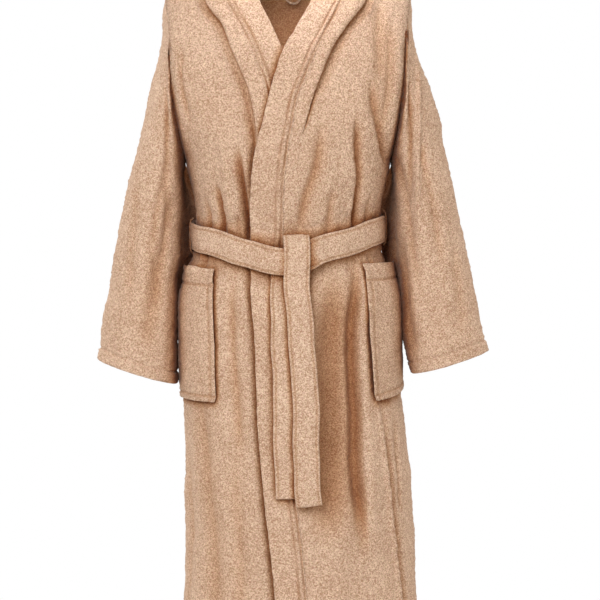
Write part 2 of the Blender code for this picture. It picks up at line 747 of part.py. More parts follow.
def hood(side, name, band_name):
    neck = neck_columns()
    seats = [body_point(angle, row) for angle, row in neck]
    sections = []
    for i, (angle, row) in enumerate(neck):
        tangent = seats[min(i + 1, HOOD_COLUMNS)] - seats[max(i - 1, 0)]
        if i == HOOD_COLUMNS:
            tangent = Vector((-1, 0, 0))
        way = tangent.cross(body_normal(angle, row)).normalized()
        if way.dot(Vector((0, 0, 0.03)) - seats[i]) < 0:
            way = -way
        if i == 0:
            way = Vector((way.x, 0, way.z)).normalized()
        sections.append(hood_section(1 - i / HOOD_COLUMNS, angle, row, way))
    lines = [[section[i] for section in sections] for i in range(len(sections[0]))]
    normals = grid_normals(lines)
    for line in normals:
        line[0] = Vector((line[0].x, 0, line[0].z)).normalized()
        line[-1] = Vector((0, line[-1].y, line[-1].z)).normalized()
    if side < 0:
        lines = [[Vector((-p.x, p.y, p.z)) for p in line] for line in lines]
        normals = [[Vector((-n.x, n.y, n.z)) for n in line] for line in normals]
    pieces = []
    last = len(lines) - 3
    for label, first, end, cloth, sides in (
        (name, 0, last + 1, CLOTH, ("bottom", "first", "last")),
        (band_name, last, len(lines), BAND_CLOTH, ("top", "first", "last")),
    ):
        part = list(zip(lines[first:end], normals[first:end]))
        outer = [[p + n * cloth / 2 for p, n in zip(*pair)] for pair in part]
        inner = [[p - n * cloth / 2 for p, n in zip(*pair)] for pair in part]
        trim(outer, inner, sides)
        pieces.append(shell(label, outer, inner))
    return pieces


def pocket(side, name, size):
    # A patch on the front's outer face, moved out, with a turned hem along its top.
    outer, inner = [], []
    for part in POCKET_ROWS:
        height = mix(size["top"], size["bottom"], part)
        row = row_at(height)
        start = angle_of(side * mix(*size["inner"], part), row)
        outside, inside = [], []
        rear = side * (SIDE_SEAM.read(height, "angle") - POCKET_BEFORE_SEAM)
        for j in range(9):
            angle = mix(start, rear, j / 8)
            swell = POCKET_SWELL * math.sin(math.pi * j / 8) * (1 - part**2)
            off = POCKET_OFF + swell + front_lift(side, body_point(angle, row).x, height)
            off += max(0, *(-fold_depth(angle + away, height) for away in POCKET_LOOK))
            hem = POCKET_HEM if part < 0.1 else 0.0
            outside.append(cloth_point(angle, row, off + CLOTH + hem))
            inside.append(cloth_point(angle, row, off))
        outer.append(outside)
        inner.append(inside)
    return shell(name, outer, inner)


def strap(name, points, normals, width, cloth):
    # A flat strip with soft edges along a line of points, its flat face square to the normals.
    section = ((-0.5, -0.2), (-0.47, -0.5), (0.47, -0.5), (0.5, -0.2))
    section += tuple((-across, -off) for across, off in section)
    rings = []
    for i, (point, normal) in enumerate(zip(points, normals)):
        along = points[min(i + 1, len(points) - 1)] - points[max(i - 1, 0)]
        across = along.cross(normal).normalized()
        off = across.cross(along).normalized()
        rings.append([point + across * width * a + off * cloth * b for a, b in section])
    mesh_data = bmesh.new()
    verts = [[mesh_data.verts.new(point) for point in ring] for ring in rings]
    count = len(section)
    for first, second in zip(verts, verts[1:]):
        for j in range(count):
            k = (j + 1) % count
            mesh_data.faces.new((first[j], first[k], second[k], second[j]))
    mesh_data.faces.new(verts[0])
    mesh_data.faces.new(verts[-1])
    return finish(name, mesh_data)


def belt_off(x, back):
    # Distance of the belt's middle off the plain form.
    off = BELT_GAP + BELT_CLOTH / 2
    if not back:
        for most, low, rise, fall, high in BELT_HUMPS:
            off += most * ease((x - low) / (rise - low)) * ease((high - x) / (high - fall))
    return off


def belt_wrap(name):
    points, normals = [], []
    first, last = BELT_ENDS
    count = round((last - first) / BELT_STEP)
    for i in range(count + 1):
        angle = mix(first, last, i / count)
        row = row_at(belt_height(angle))
        place, normal = body_point(angle, row), body_normal(angle, row)
        points.append(place + normal * belt_off(place.x, math.cos(math.radians(angle)) < 0))
        normals.append(normal)
    return strap(name, points, normals, BELT_WIDTH, BELT_CLOTH)


def tail(name, table, turn=()):
    # Hangs straight down from the belt in front of the body, after its turn.
    top, bottom = table.keys[-1], table.keys[0]
    count = round((top - bottom) / TAIL_STEP)
    stations = list(turn)
    for i in range(count + 1):
        height = mix(top, bottom, i / count)
        stations.append((table.read(height, "off"), height))
    points = []
    for off, height in stations:
        row = row_at(height)
        place = body_point(angle_of(table.read(height, "middle"), row), row)
        points.append(Vector((place.x, place.y - off, place.z)))
    normals = []
    for i in range(len(points)):
        along = points[min(i + 1, len(points) - 1)] - points[max(i - 1, 0)]
        normals.append(Vector((1, 0, 0)).cross(along).normalized())
    return strap(name, points, normals, TAIL_WIDTH, BELT_CLOTH)


def belt_loop(side, name):
    # A thin loop at the side seam that the belt runs through.
    middle = belt_height(side * 90)
    near = 5 * SEAM_GAP + LOOP_CLOTH / 2
    far = BELT_GAP + BELT_CLOTH + 2 * SEAM_GAP + LOOP_CLOTH / 2
    points, normals = [], []
    for up, out in LOOP_LINE:
        off = mix(near, far, out)
        row = row_at(middle + up)
        points.append(cloth_point(side * LOOP_ANGLE, row, off))
        normals.append(body_normal(side * LOOP_ANGLE, row))
    return strap(name, points, normals, LOOP_WIDTH, LOOP_CLOTH)


def hanging_loop(name):
    # A narrow loop that hangs inside the back from the nape.
    middle, half = HANGER["middle"], HANGER["half_width"]
    top, low = NAPE_ROW + HANGER["top"], NAPE_ROW + HANGER["low"]
    points, normals = [], []
    for i in range(13):
        turn = math.pi * i / 12
        x = middle - half * math.cos(turn)
        row = mix(top, low, math.sin(turn) ** 0.6)
        angle = 180 - angle_of(x, row)
        normals.append(body_normal(angle, row))
        points.append(cloth_point(angle, row, -CLOTH - 4 * SEAM_GAP - LOOP_CLOTH / 2))
    return strap(name, points, normals, LOOP_WIDTH, LOOP_CLOTH)


def build():
    for piece in list(bpy.data.objects):
        bpy.data.objects.remove(piece, do_unlink=True)
    back("back")
    front(1, "front_left")
    front(-1, "front_right")
    band(1, "band_left")
    band(-1, "band_right")
    sleeve(1, "sleeve_left", LEFT_SLEEVE)
    sleeve(-1, "sleeve_right", RIGHT_SLEEVE)
    hood(1, "hood_left", "hood_band_left")
    hood(-1, "hood_right", "hood_band_right")
    pocket(1, "pocket_left", POCKETS["left"])
    pocket(-1, "pocket_right", POCKETS["right"])
    belt_wrap("belt_wrap")
    tail("belt_tail_long", LONG_TAIL, TAIL_TURN)
    tail("belt_tail_short", SHORT_TAIL)
    belt_loop(1, "belt_loop_left")
    belt_loop(-1, "belt_loop_right")
    hanging_loop("hanging_loop")


build()
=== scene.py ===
import math

import bpy
import numpy as np
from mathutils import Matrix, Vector
from mathutils.bvhtree import BVHTree


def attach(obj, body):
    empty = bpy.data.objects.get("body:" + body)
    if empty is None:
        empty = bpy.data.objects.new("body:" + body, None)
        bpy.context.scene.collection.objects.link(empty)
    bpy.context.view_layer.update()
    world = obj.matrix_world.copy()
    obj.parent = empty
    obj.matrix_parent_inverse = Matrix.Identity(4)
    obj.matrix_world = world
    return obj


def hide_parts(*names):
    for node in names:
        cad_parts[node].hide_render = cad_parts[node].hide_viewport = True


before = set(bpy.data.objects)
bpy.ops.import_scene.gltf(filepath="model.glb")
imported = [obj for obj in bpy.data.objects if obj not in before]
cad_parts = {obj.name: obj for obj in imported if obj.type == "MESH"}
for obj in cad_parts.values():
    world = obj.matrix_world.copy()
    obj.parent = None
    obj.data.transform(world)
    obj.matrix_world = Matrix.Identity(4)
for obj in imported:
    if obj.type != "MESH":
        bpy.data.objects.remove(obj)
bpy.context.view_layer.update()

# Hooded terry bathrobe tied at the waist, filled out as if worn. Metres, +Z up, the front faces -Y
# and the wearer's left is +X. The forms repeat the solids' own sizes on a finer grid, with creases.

dice = np.random.default_rng(7)


class Table:
    # Rows of numbers under named columns, read smoothly by the first column.
    def __init__(self, names, *rows):
        self.names = names.split()
        self.rows = np.array(sorted(rows), float)
        self.keys = self.rows[:, 0]

    def read(self, key, name):
        values = self.rows[:, self.names.index(name)]
        spans = np.diff(self.keys)
        steps = np.diff(values) / spans
        before, after = steps[:-1], steps[1:]
        same = before * after > 0
        inner = np.where(same, 2 * before * after / np.where(same, before + after, 1), 0)
        slopes = np.concatenate([steps[:1], inner, steps[-1:]])
        key = np.clip(key, self.keys[0], self.keys[-1])
        here = np.clip(np.searchsorted(self.keys, key, "right") - 1, 0, len(steps) - 1)
        part = (key - self.keys[here]) / spans[here]
        low, high = values[here], values[here + 1]
        start, end = slopes[here] * spans[here], slopes[here + 1] * spans[here]
        bend = 2 * (low - high) + start + end
        return low + part * (start + part * (3 * (high - low) - 2 * start - end + part * bend))


def mix(start, end, part):
    return start + (end - start) * part


def ease(part):
    part = np.clip(part, 0, 1)
    return part * part * (3 - 2 * part)


def hump(away, width, power=2):
    # 1 where away is 0, fading out on both sides. A higher power makes it squarer.
    return np.exp(-(abs(away / width) ** power))


def named(side):
    return "left" if side > 0 else "right"


# body form

robe = {
    "hem": -1.16,
    "armpit": -0.295,
    "ridgeTop": 0.035,
    "shoulderTip": -0.038,
    "armholeHalfDepth": 0.075,
    "neckHalfWidth": 0.088,
    "napeRow": 0.247,
    "ridgeRounding": 0.15,
    "cloth": 0.0032,
    "layer": 0.005,
    "tuck": 0.003,
    "seamGap": 0.0003,
    "fuzz": 0.00045,
    # how round the cloth's edges are: at a seam, and as a share of the cloth at a free edge
    "seamEdge": 0.0007,
    "freeEdge": 0.47,
}

bodySizes = Table(
    "height halfWidth front back middle square",
    (0.035, 0.163, 0.095, 0.095, 0, 2.5),
    (-0.1, 0.163, 0.104, 0.104, 0, 2.5),
    (-0.17, 0.163, 0.11, 0.105, 0, 2.5),
    (-0.24, 0.163, 0.119, 0.103, 0, 2.5),
    (-0.295, 0.163, 0.117, 0.098, 0, 2.4),
    (-0.36, 0.15, 0.106, 0.092, 0, 2.3),
    (-0.42, 0.1475, 0.099, 0.09, 0, 2.2),
    (-0.47, 0.1575, 0.107, 0.1, 0.0005, 2.2),
    (-0.52, 0.1695, 0.117, 0.112, 0.001, 2.2),
    (-0.584, 0.172, 0.124, 0.121, 0.0015, 2.2),
    (-0.673, 0.1755, 0.129, 0.126, 0.0077, 2.2),
    (-0.779, 0.18, 0.132, 0.13, 0.014, 2.2),
    (-0.844, 0.182, 0.134, 0.132, 0.0174, 2.2),
    (-0.909, 0.184, 0.136, 0.134, 0.019, 2.2),
    (-1.007, 0.188, 0.138, 0.137, 0.019, 2.2),
    (-1.16, 0.194, 0.142, 0.141, 0.02, 2.2),
)
armholeOut = Table(
    "height out",
    (-0.038, 0.194),
    (-0.096, 0.185),
    (-0.164, 0.182),
    (-0.2245, 0.1754),
    (-0.2785, 0.166),
    (-0.295, 0.163),
)
sideSeam = Table("height angle", (-0.295, 90), (-0.4, 94), (-0.455, 109), (-0.56, 112), (-1.16, 110))
leftFront = Table(
    "height edge seam roll",
    (0.002, 0.06, 0.088, 0.122),
    (-0.052, 0.036, 0.082, 0.115),
    (-0.09, 0.0145, 0.0645, 0.088),
    (-0.128, -0.007, 0.045, 0.0645),
    (-0.165, -0.019, 0.029, 0.05),
    (-0.204, -0.03, 0.0144, 0.0359),
    (-0.243, -0.0393, 0.007, 0.0265),
    (-0.281, -0.05, 0.0006, 0.015),
    (-0.342, -0.056, -0.006, 0.012),
    (-0.419, -0.058, -0.0072, 0.012),
    (-0.468, -0.058, -0.008, 0.012),
    (-0.573, -0.0504, -0.0015, 0.0185),
    (-0.6975, -0.046, 0.003, 0.023),
    (-0.8225, -0.0353, 0.0135, 0.0335),
    (-0.917, -0.0245, 0.0245, 0.0445),
    (-0.98, -0.019, 0.03, 0.05),
    (-1.16, -0.004, 0.045, 0.065),
)
rightFront = Table(
    "height edge seam roll",
    (0.002, 0.06, 0.088, 0.128),
    (-0.052, 0.0425, 0.0914, 0.1222),
    (-0.09, 0.0241, 0.073, 0.097),
    (-0.128, 0.007, 0.054, 0.083),
    (-0.15, -0.003, 0.045, 0.0733),
    (-0.189, -0.017, 0.031, 0.058),
    (-0.22, -0.026, 0.023, 0.052),
    (-0.25, -0.034, 0.015, 0.047),
    (-0.281, -0.042, 0.008, 0.043),
    (-0.342, -0.052, -0.002, 0.03),
    (-0.419, -0.056, -0.006, 0.018),
    (-0.6, -0.058, -0.008, 0.014),
    (-1.16, -0.075, -0.025, -0.005),
)
rollStand = Table(
    "height left right",
    (0.002, 0.015, 0.015),
    (-0.052, 0.015, 0.0145),
    (-0.1, 0.013, 0.012),
    (-0.15, 0.0105, 0.01),
    (-0.2, 0.008, 0.008),
    (-0.24, 0.005, 0.006),
    (-0.28, 0.002, 0.004),
    (-0.32, 0, 0),
)
beltLine = Table(
    "angle height",
    (-90, -0.417),
    (-62, -0.421),
    (-40, -0.43),
    (-23, -0.4423),
    (-3.5, -0.454),
    (8, -0.4475),
    (17, -0.4365),
    (40, -0.4238),
    (62, -0.412),
    (90, -0.403),
    (135, -0.398),
    (180, -0.396),
    (225, -0.402),
    (270, -0.417),
)
beltSize = {
    "width": 0.043,
    "cloth": 0.006,
    "wave": 0.0008,
    "stitched": True,
    "gap": 0.0009,
    # the body stays drawn in this far past the belt's edges, and then takes this long to swell again
    "cinch": 0.003,
    "cinchEase": 0.03,
}
tailSize = {"width": 0.041, "cloth": 0.0056, "wave": 0.0009, "stitched": True}


def rowAt(height):
    return 1 + (robe["armpit"] - height) / (robe["armpit"] - robe["hem"])


def beltHeight(angle):
    return beltLine.read((np.asarray(angle) + 90) % 360 - 90, "height")


def cinched(angle, height):
    # Under the belt the cloth is drawn in flat: the sizes there are those at the belt's middle.
    away = height - beltHeight(angle)
    past = abs(away) - beltSize["width"] / 2 - beltSize["cinch"]
    return height - away + away * ease(past / beltSize["cinchEase"])


def halfDepth(isFront, height):
    return np.where(isFront, bodySizes.read(height, "front"), bodySizes.read(height, "back"))


def bodyPoint(angle, row, front=None):
    # A point of the plain form. Angle: degrees from the centre front towards the wearer's left.
    # Row: 0 at the shoulder ridge, 1 at the armpit, 2 at the hem.
    angle, row = np.broadcast_arrays(np.asarray(angle, float), np.asarray(row, float))
    turn = np.radians(angle)
    across = np.sin(turn)
    isFront = np.cos(turn) > 0 if front is None else np.where(row < 1, front, np.cos(turn) > 0)

    height = robe["armpit"] + (row - 1) * (robe["hem"] - robe["armpit"])
    size = cinched(angle, height)
    square, depth = bodySizes.read(size, "square"), halfDepth(isFront, size)
    reach = depth * (1 - np.minimum(1, abs(across)) ** square) ** (1 / square)
    x = bodySizes.read(size, "middle") + bodySizes.read(size, "halfWidth") * across
    lower = np.stack([x, np.where(isFront, -reach, reach), height], -1)

    up = np.minimum(row, 1)
    drop = (1 - np.cos(math.pi * up)) / 2
    swell = np.sin(math.pi * np.minimum(up, 0.5))
    middleHeight = mix(robe["ridgeTop"], robe["armpit"], drop)
    tipHeight = mix(robe["shoulderTip"], robe["armpit"], drop)
    square, depth = bodySizes.read(middleHeight, "square"), halfDepth(isFront, middleHeight)
    hole = armholeOut.read(tipHeight, "out")
    share = robe["armholeHalfDepth"] / depth * np.where(up > 0.5, np.sin(math.pi * up), 1)
    half = hole / (1 - np.clip(share, 0, 0.99) ** square) ** (1 / square)
    x = hole * across
    reach = depth * swell * (1 - np.minimum(1, abs(x) / half) ** square) ** (1 / square)
    rounding = robe["ridgeRounding"]
    slant = (np.hypot(across, rounding) - rounding) / (math.hypot(1, rounding) - rounding)
    upper = np.stack([x, np.where(isFront, -reach, reach), mix(middleHeight, tipHeight, slant)], -1)
    return np.where((row >= 1)[..., None], lower, upper)


def unit(vectors):
    return vectors / np.maximum(np.linalg.norm(vectors, axis=-1, keepdims=True), 1e-12)


def runAlong(line):
    # How far along a line of points each one lies.
    return np.concatenate([[0], np.cumsum(np.linalg.norm(np.diff(line, axis=0), axis=-1))])


def frontOf(side):
    return leftFront if side > 0 else rightFront


def sideAngle(rows):
    # Where the side seam, or above the armpit the armhole, crosses each row.
    return np.where(rows <= 1, 90.0, sideSeam.read(bodyPoint(0, rows)[:, 2], "angle"))


def bodyNormal(angle, row):
    angle, row = np.broadcast_arrays(np.asarray(angle, float), np.asarray(row, float))
    # Above the armpit the front and the back each end at the armhole, 90 degrees from their middle.
    middle = np.round(angle / 180) * 180
    limit = np.where(row < 1, 90, 999)
    near, step = 0.1, 0.004  # degrees and rows to either side
    low, high = np.maximum(angle - near, middle - limit), np.minimum(angle + near, middle + limit)
    front = np.cos(np.radians(middle)) > 0
    around = bodyPoint(high, row, front) - bodyPoint(low, row, front)
    down = bodyPoint(angle, np.minimum(row + step, 2)) - bodyPoint(angle, np.maximum(row - step, 0))
    return unit(np.cross(down, around))


def angleOf(x, row):
    # Angle on the front at a distance to the side.
    middle = bodyPoint(0, row)[..., 0]
    half = abs(bodyPoint(90, row)[..., 0] - middle)
    return np.degrees(np.arcsin(np.clip((x - middle) / half, -1, 1)))


def lineAngle(table, name, side, row, shift=0.0):
    # Angle where an up-and-down line crosses each row.
    angle = np.zeros_like(row)
    for _ in range(16):
        x = table.read(bodyPoint(angle, row)[..., 2], name) + shift
        angle = angleOf(side * x, row)
    return angle


# creases

# Each crease has a depth (a ridge when negative), its half width in degrees before and after its
# line, how square its trough is, and its line as heights and angles from the centre front.
bodyCreases = (
    # chest, wearer's right
    (0.0115, 3.4, 1.5, 1.8, (-0.27, -28.5), (-0.305, -26.9), (-0.358, -26.2), (-0.42, -23.5),
     (-0.452, -22.5)),
    (-0.0045, 4, 4, 1.6, (-0.235, -39.5), (-0.312, -36.6), (-0.356, -36.7), (-0.425, -34.5)),
    (0.009, 2.4, 2, 1.6, (-0.325, -45.8), (-0.364, -44.4), (-0.41, -43.2), (-0.45, -42)),
    (0.004, 3.5, 2.5, 1.6, (-0.115, -62), (-0.173, -65.9), (-0.196, -65.2), (-0.25, -61)),
    (0.0065, 3, 2, 1.6, (-0.35, -58.5), (-0.4, -56.5), (-0.45, -55.5)),
    (0.0055, 2, 2, 1.6, (-0.375, -33), (-0.41, -31), (-0.45, -30)),
    # chest, wearer's left
    (0.0085, 2.2, 3.4, 1.6, (-0.232, 17.5), (-0.293, 16), (-0.327, 13.2), (-0.356, 9.7), (-0.415, 6.8)),
    (0.01, 1.8, 3.4, 1.6, (-0.215, 37), (-0.275, 40), (-0.357, 46), (-0.397, 45.2), (-0.44, 44)),
    (0.009, 3, 4.5, 1.6, (-0.165, 44), (-0.216, 50.1), (-0.27, 62), (-0.315, 75)),
    (0.006, 4.5, 6, 1.6, (-0.035, 49), (-0.067, 49.5), (-0.142, 50.8), (-0.185, 52)),
    (0.0055, 4, 5, 1.6, (-0.07, 58.5), (-0.12, 60), (-0.19, 60.5), (-0.265, 58)),
    (0.0065, 2.2, 2.2, 1.6, (-0.335, 27.5), (-0.38, 25.5), (-0.43, 24)),
    (0.004, 2.4, 2, 1.6, (-0.34, 60), (-0.385, 58), (-0.43, 57)),
    # below the belt, wearer's left
    (0.0185, 5.2, 2.5, 2.6, (-0.425, 44.7), (-0.449, 44.1), (-0.544, 38.2), (-0.697, 35), (-0.776, 32.6),
     (-0.842, 33), (-0.93, 33.5)),
    (-0.005, 2.4, 5.5, 1.6, (-0.44, 51), (-0.544, 44.5), (-0.697, 41), (-0.8, 39), (-0.9, 40)),
    (0.021, 7.5, 9, 2.2, (-0.45, 27), (-0.574, 21.9), (-0.697, 18.5), (-0.9, 13)),
    (0.005, 2, 2, 1.6, (-0.44, 61), (-0.48, 60), (-0.54, 60)),
    (-0.0055, 1.5, 1.3, 1.6, (-0.64, 46.5), (-0.67, 47.9), (-0.8, 51.5), (-0.988, 57.4), (-1.155, 62.5)),
    (0.005, 1.4, 2.4, 1.6, (-0.64, 49.7), (-0.67, 51), (-0.8, 54.8), (-0.988, 60.8), (-1.155, 66)),
    (0.0045, 1.6, 1.4, 1.6, (-0.69, 61), (-0.738, 62), (-0.811, 63), (-0.87, 63.5)),
    # below the belt, wearer's right
    (0.007, 2.5, 2.5, 1.6, (-0.455, -33), (-0.52, -31), (-0.64, -30), (-0.78, -29)),
    (0.0065, 6, 5, 1.6, (-0.6, -58.5), (-0.671, -56), (-0.827, -49.8), (-0.968, -45.6), (-1.15, -43)),
    (0.005, 5, 5, 1.6, (-0.7, -72), (-0.9, -73), (-1.25, -73)),
    (0.0045, 3.5, 3, 1.6, (-0.72, -33), (-0.86, -31), (-1, -30), (-1.25, -30.5)),
    (-0.006, 3.2, 2.6, 1.6, (-0.436, -68), (-0.452, -66), (-0.468, -67), (-0.484, -70)),
    (-0.004, 7, 7, 1.6, (-0.436, -88), (-0.456, -88), (-0.476, -88)),
    (0.0045, 1.6, 1.6, 1.6, (-0.432, -60.5), (-0.45, -60), (-0.466, -61), (-0.48, -62)),
    # back
    (0.011, 5, 5, 1.6, (-0.43, 150), (-0.8, 147), (-1.2, 145)),
    (0.01, 5.5, 5.5, 1.6, (-0.43, 172), (-0.85, 171), (-1.3, 170)),
    (0.011, 5, 5, 1.6, (-0.43, 196), (-0.85, 198), (-1.25, 200)),
    (0.008, 5, 5, 1.6, (-0.44, 218), (-0.75, 221), (-1.1, 223)),
    (0.008, 4.5, 4.5, 1.6, (-0.45, 122), (-0.8, 121), (-1.2, 120)),
    (0.008, 4.5, 4.5, 1.6, (-0.45, -122), (-0.8, -121), (-1.2, -120)),
    (0.005, 2.4, 2.4, 1.6, (-0.425, 160.5), (-0.47, 160), (-0.56, 159)),
    (0.005, 2.4, 2.4, 1.6, (-0.425, 184), (-0.48, 184.5), (-0.58, 185.5)),
    (0.005, 2.4, 2.4, 1.6, (-0.425, 207), (-0.47, 208), (-0.54, 209)),
    (0.006, 5, 5, 1.6, (-0.2, 161), (-0.32, 158), (-0.43, 156)),
    (0.006, 5, 5, 1.6, (-0.18, 184), (-0.31, 187), (-0.43, 188)),
    (0.0055, 4.5, 4.5, 1.6, (-0.23, 205), (-0.33, 207), (-0.43, 209)),
    (0.0045, 2.5, 2.5, 1.6, (-0.33, 172.5), (-0.38, 172), (-0.43, 171)),
    (0.005, 3, 4, 1.6, (-0.15, 118), (-0.22, 112), (-0.285, 103)),
    (0.005, 4, 3, 1.6, (-0.15, 242), (-0.22, 248), (-0.285, 257)),
)


def creaseDepth(angle, height, creases=bodyCreases):
    total = np.zeros(np.broadcast(angle, height).shape)
    for depth, before, after, power, *line in creases:
        path = Table("height angle", *line)
        part = (height - path.keys[0]) / (path.keys[-1] - path.keys[0])
        away = (angle - path.read(height, "angle") + 180) % 360 - 180
        wide = np.where(away < 0, before, after)
        ends = ease(part / 0.25), ease((1 - part) / 0.25)
        total += depth * ends[0] * ends[1] * hump(away, wide, power)
    return total


def drawWaves(size, count=9):
    ways = unit(dice.normal(size=(count, 3)))
    return ways * (2 * math.pi / size) / dice.uniform(0.7, 1.5, (count, 1)), dice.uniform(0, 6.28, count)


# One set of waves for each size, so that pieces which share a seam bulge together there.
waves = {size: drawWaves(size) for size in (0.11, 0.08, 0.055, 0.035, 0.013)}


def ripple(points, size, height):
    # Soft unevenness: waves of about one size in many directions.
    ways, starts = waves[size]
    return np.sin(points @ ways.T + starts).sum(-1) * height / math.sqrt(len(ways) / 2)


# The roll's height at the band's edge, at its seam and on the roll, and how fast it drops outside.
rollForm = {"edge": 0.4, "seam": 0.8, "crest": 1, "drop": 0.0035}


def rollHeight(side, x, height):
    # Height of the soft roll beside a band, x counted towards the panel's own side.
    table = frontOf(side)
    full = rollStand.read(height, named(side))
    edge, seam, roll = (table.read(height, column) for column in ("edge", "seam", "roll"))
    onBand = mix(rollForm["edge"], rollForm["seam"], ease((x - edge) / (seam - edge)))
    beside = mix(rollForm["seam"], rollForm["crest"], ease((x - seam) / (roll - seam)))
    outside = rollForm["crest"] - ease((x - roll) / rollForm["drop"])
    return full * np.where(x <= seam, onBand, np.where(x <= roll, beside, outside))


# Where the left band's edge lies on the right front: the right front sinks, the edge curls up.
overlapEdge = {
    "sink": 0.0048,
    "wide": 0.0065,
    "curl": 0.0022,
    "top": -0.26,
    "start": 0.05,
    "tuckWide": 0.012,
    # how far past the right front's edge the left one starts to come down, and over what width
    "cover": (0.004, 0.036),
}


def belowChest(height):
    return ease((overlapEdge["top"] - height) / overlapEdge["start"])


def frontLift(side, x, height):
    # How far a front stands off the plain form. The left front also clears the right one.
    own = rollHeight(side, side * x, height)
    if side < 0:
        past = x - leftFront.read(height, "edge")
        tuck = robe["tuck"] * ease(past / overlapEdge["tuckWide"])
        return own - (tuck + overlapEdge["sink"] * hump(past, overlapEdge["wide"])) * belowChest(height)
    reach = -rightFront.read(height, "edge")
    start, wide = overlapEdge["cover"]
    cover = 1 - ease((x - reach - start) / wide)
    under = rollHeight(-1, -np.minimum(x, reach), height)
    return np.maximum(own, cover * (robe["layer"] + under))


besideRoll = Table(
    # how far the chest sinks just outside the roll
    "height left right",
    (-0.02, 0, 0),
    (-0.06, 0.0012, 0.002),
    (-0.12, 0.003, 0.004),
    (-0.19, 0.0045, 0.008),
    (-0.24, 0.0035, 0.01),
    (-0.28, 0, 0.008),
    (-0.32, 0, 0),
)
armholeDip = {
    "depth": (0.0065, 0.0105),  # at the shoulder and at the armpit, before the shares below
    "deeper": (0.25, 0.35),  # row where it starts to grow deeper, and over how many
    "width": 0.0052,
    "swell": 0.0022,
    "swellAt": 0.012,
    "swellWide": 0.007,
    "left": 0.85,
    "right": 0.42,
    "behind": 0.22,
    "calm": 0.02,  # the cloth's own unevenness fades out this close to the seam
}


# sizes of the waves and their heights
unevenness = ((0.11, 0.0011), (0.035, 0.0004), (0.013, 0.0003))


def lumps(points):
    # The cloth's own unevenness, from broad waves down to tufts of pile.
    return sum(ripple(points, *wave) for wave in unevenness)


def armholeFold(away, row, share):
    # The cloth turns in at the armhole seam, most near the armpit, and swells a little beside it.
    level = share * np.maximum(np.sin(math.pi * np.clip(row, 0, 1)), 0) ** 0.75
    start, wide = armholeDip["deeper"]
    dip = mix(*armholeDip["depth"], ease((row - start) / wide)) * hump(away, armholeDip["width"])
    rise = armholeDip["swell"] * hump(away - armholeDip["swellAt"], armholeDip["swellWide"])
    return level * (dip - rise)


def fromLine(grid, row=None, column=None):
    # Distance of each point from the one on a given row or column.
    line = grid[row][None] if column is None else grid[:, column][:, None]
    return np.linalg.norm(grid - line, axis=-1)


# the stitched line of points is counted from the lower edge, behind and in front
hemLine = {"deep": 0.022, "wide": 0.0025, "groove": 0.0011, "stitches": (8, 9)}


def hemGroove(height):
    return hemLine["groove"] * hump(height - robe["hem"] - hemLine["deep"], hemLine["wide"])


# cloth walls

shells = []
# painted shade: how far round a point to look for other cloth, and how strongly what is found darkens
# the colour there
paintedShadeLook = {
    "reach": 0.055,
    "rays": 20,
    "start": 0.0022,
    "from": (0.04, 0.3),
    "gain": (1.0, 1.4),
    # painted shade that every wall's inner side gets
    "inside": 0.52,
    # crease depth adds painted shade, up to this depth and at this gain
    "deepest": 0.016,
    "depth": 19,
    # how much of the painted shade the back half keeps
    "behind": 0.6,
}


def gridNormals(grid, flip=False, wrap=False):
    down = np.gradient(grid, axis=0)
    if wrap:
        around = np.roll(grid, -1, axis=1) - np.roll(grid, 1, axis=1)
    else:
        around = np.gradient(grid, axis=1)
    return unit(np.cross(down, around)) * (-1 if flip else 1)


def edgeLines(grid, axis):
    # Extra lines close to both edges, so that the cloth's edge can be rounded.
    grid = np.swapaxes(grid, 0, axis)
    first = [mix(grid[0], grid[1], part) for part in (0, 0.1, 0.3, 0.6)]
    last = [mix(grid[-1], grid[-2], part) for part in (0.6, 0.3, 0.1, 0)]
    grid = np.concatenate([np.array(first), grid[1:-1], np.array(last)])
    return np.swapaxes(grid, 0, axis)


def bead(distance, radius):
    left = radius - np.minimum(distance, radius)
    return radius - np.sqrt(np.maximum(radius * radius - left * left, 0))


def gridFaces(rows, columns, wrap):
    # The numbers of a grid's points, and the faces between them.
    index = np.arange(rows * columns).reshape(rows, columns)
    if wrap:
        index = np.concatenate([index, index[:, :1]], axis=1)
    corners = index[:-1, :-1], index[:-1, 1:], index[1:, 1:], index[1:, :-1]
    return index, np.stack(corners, -1).reshape(-1, 4)


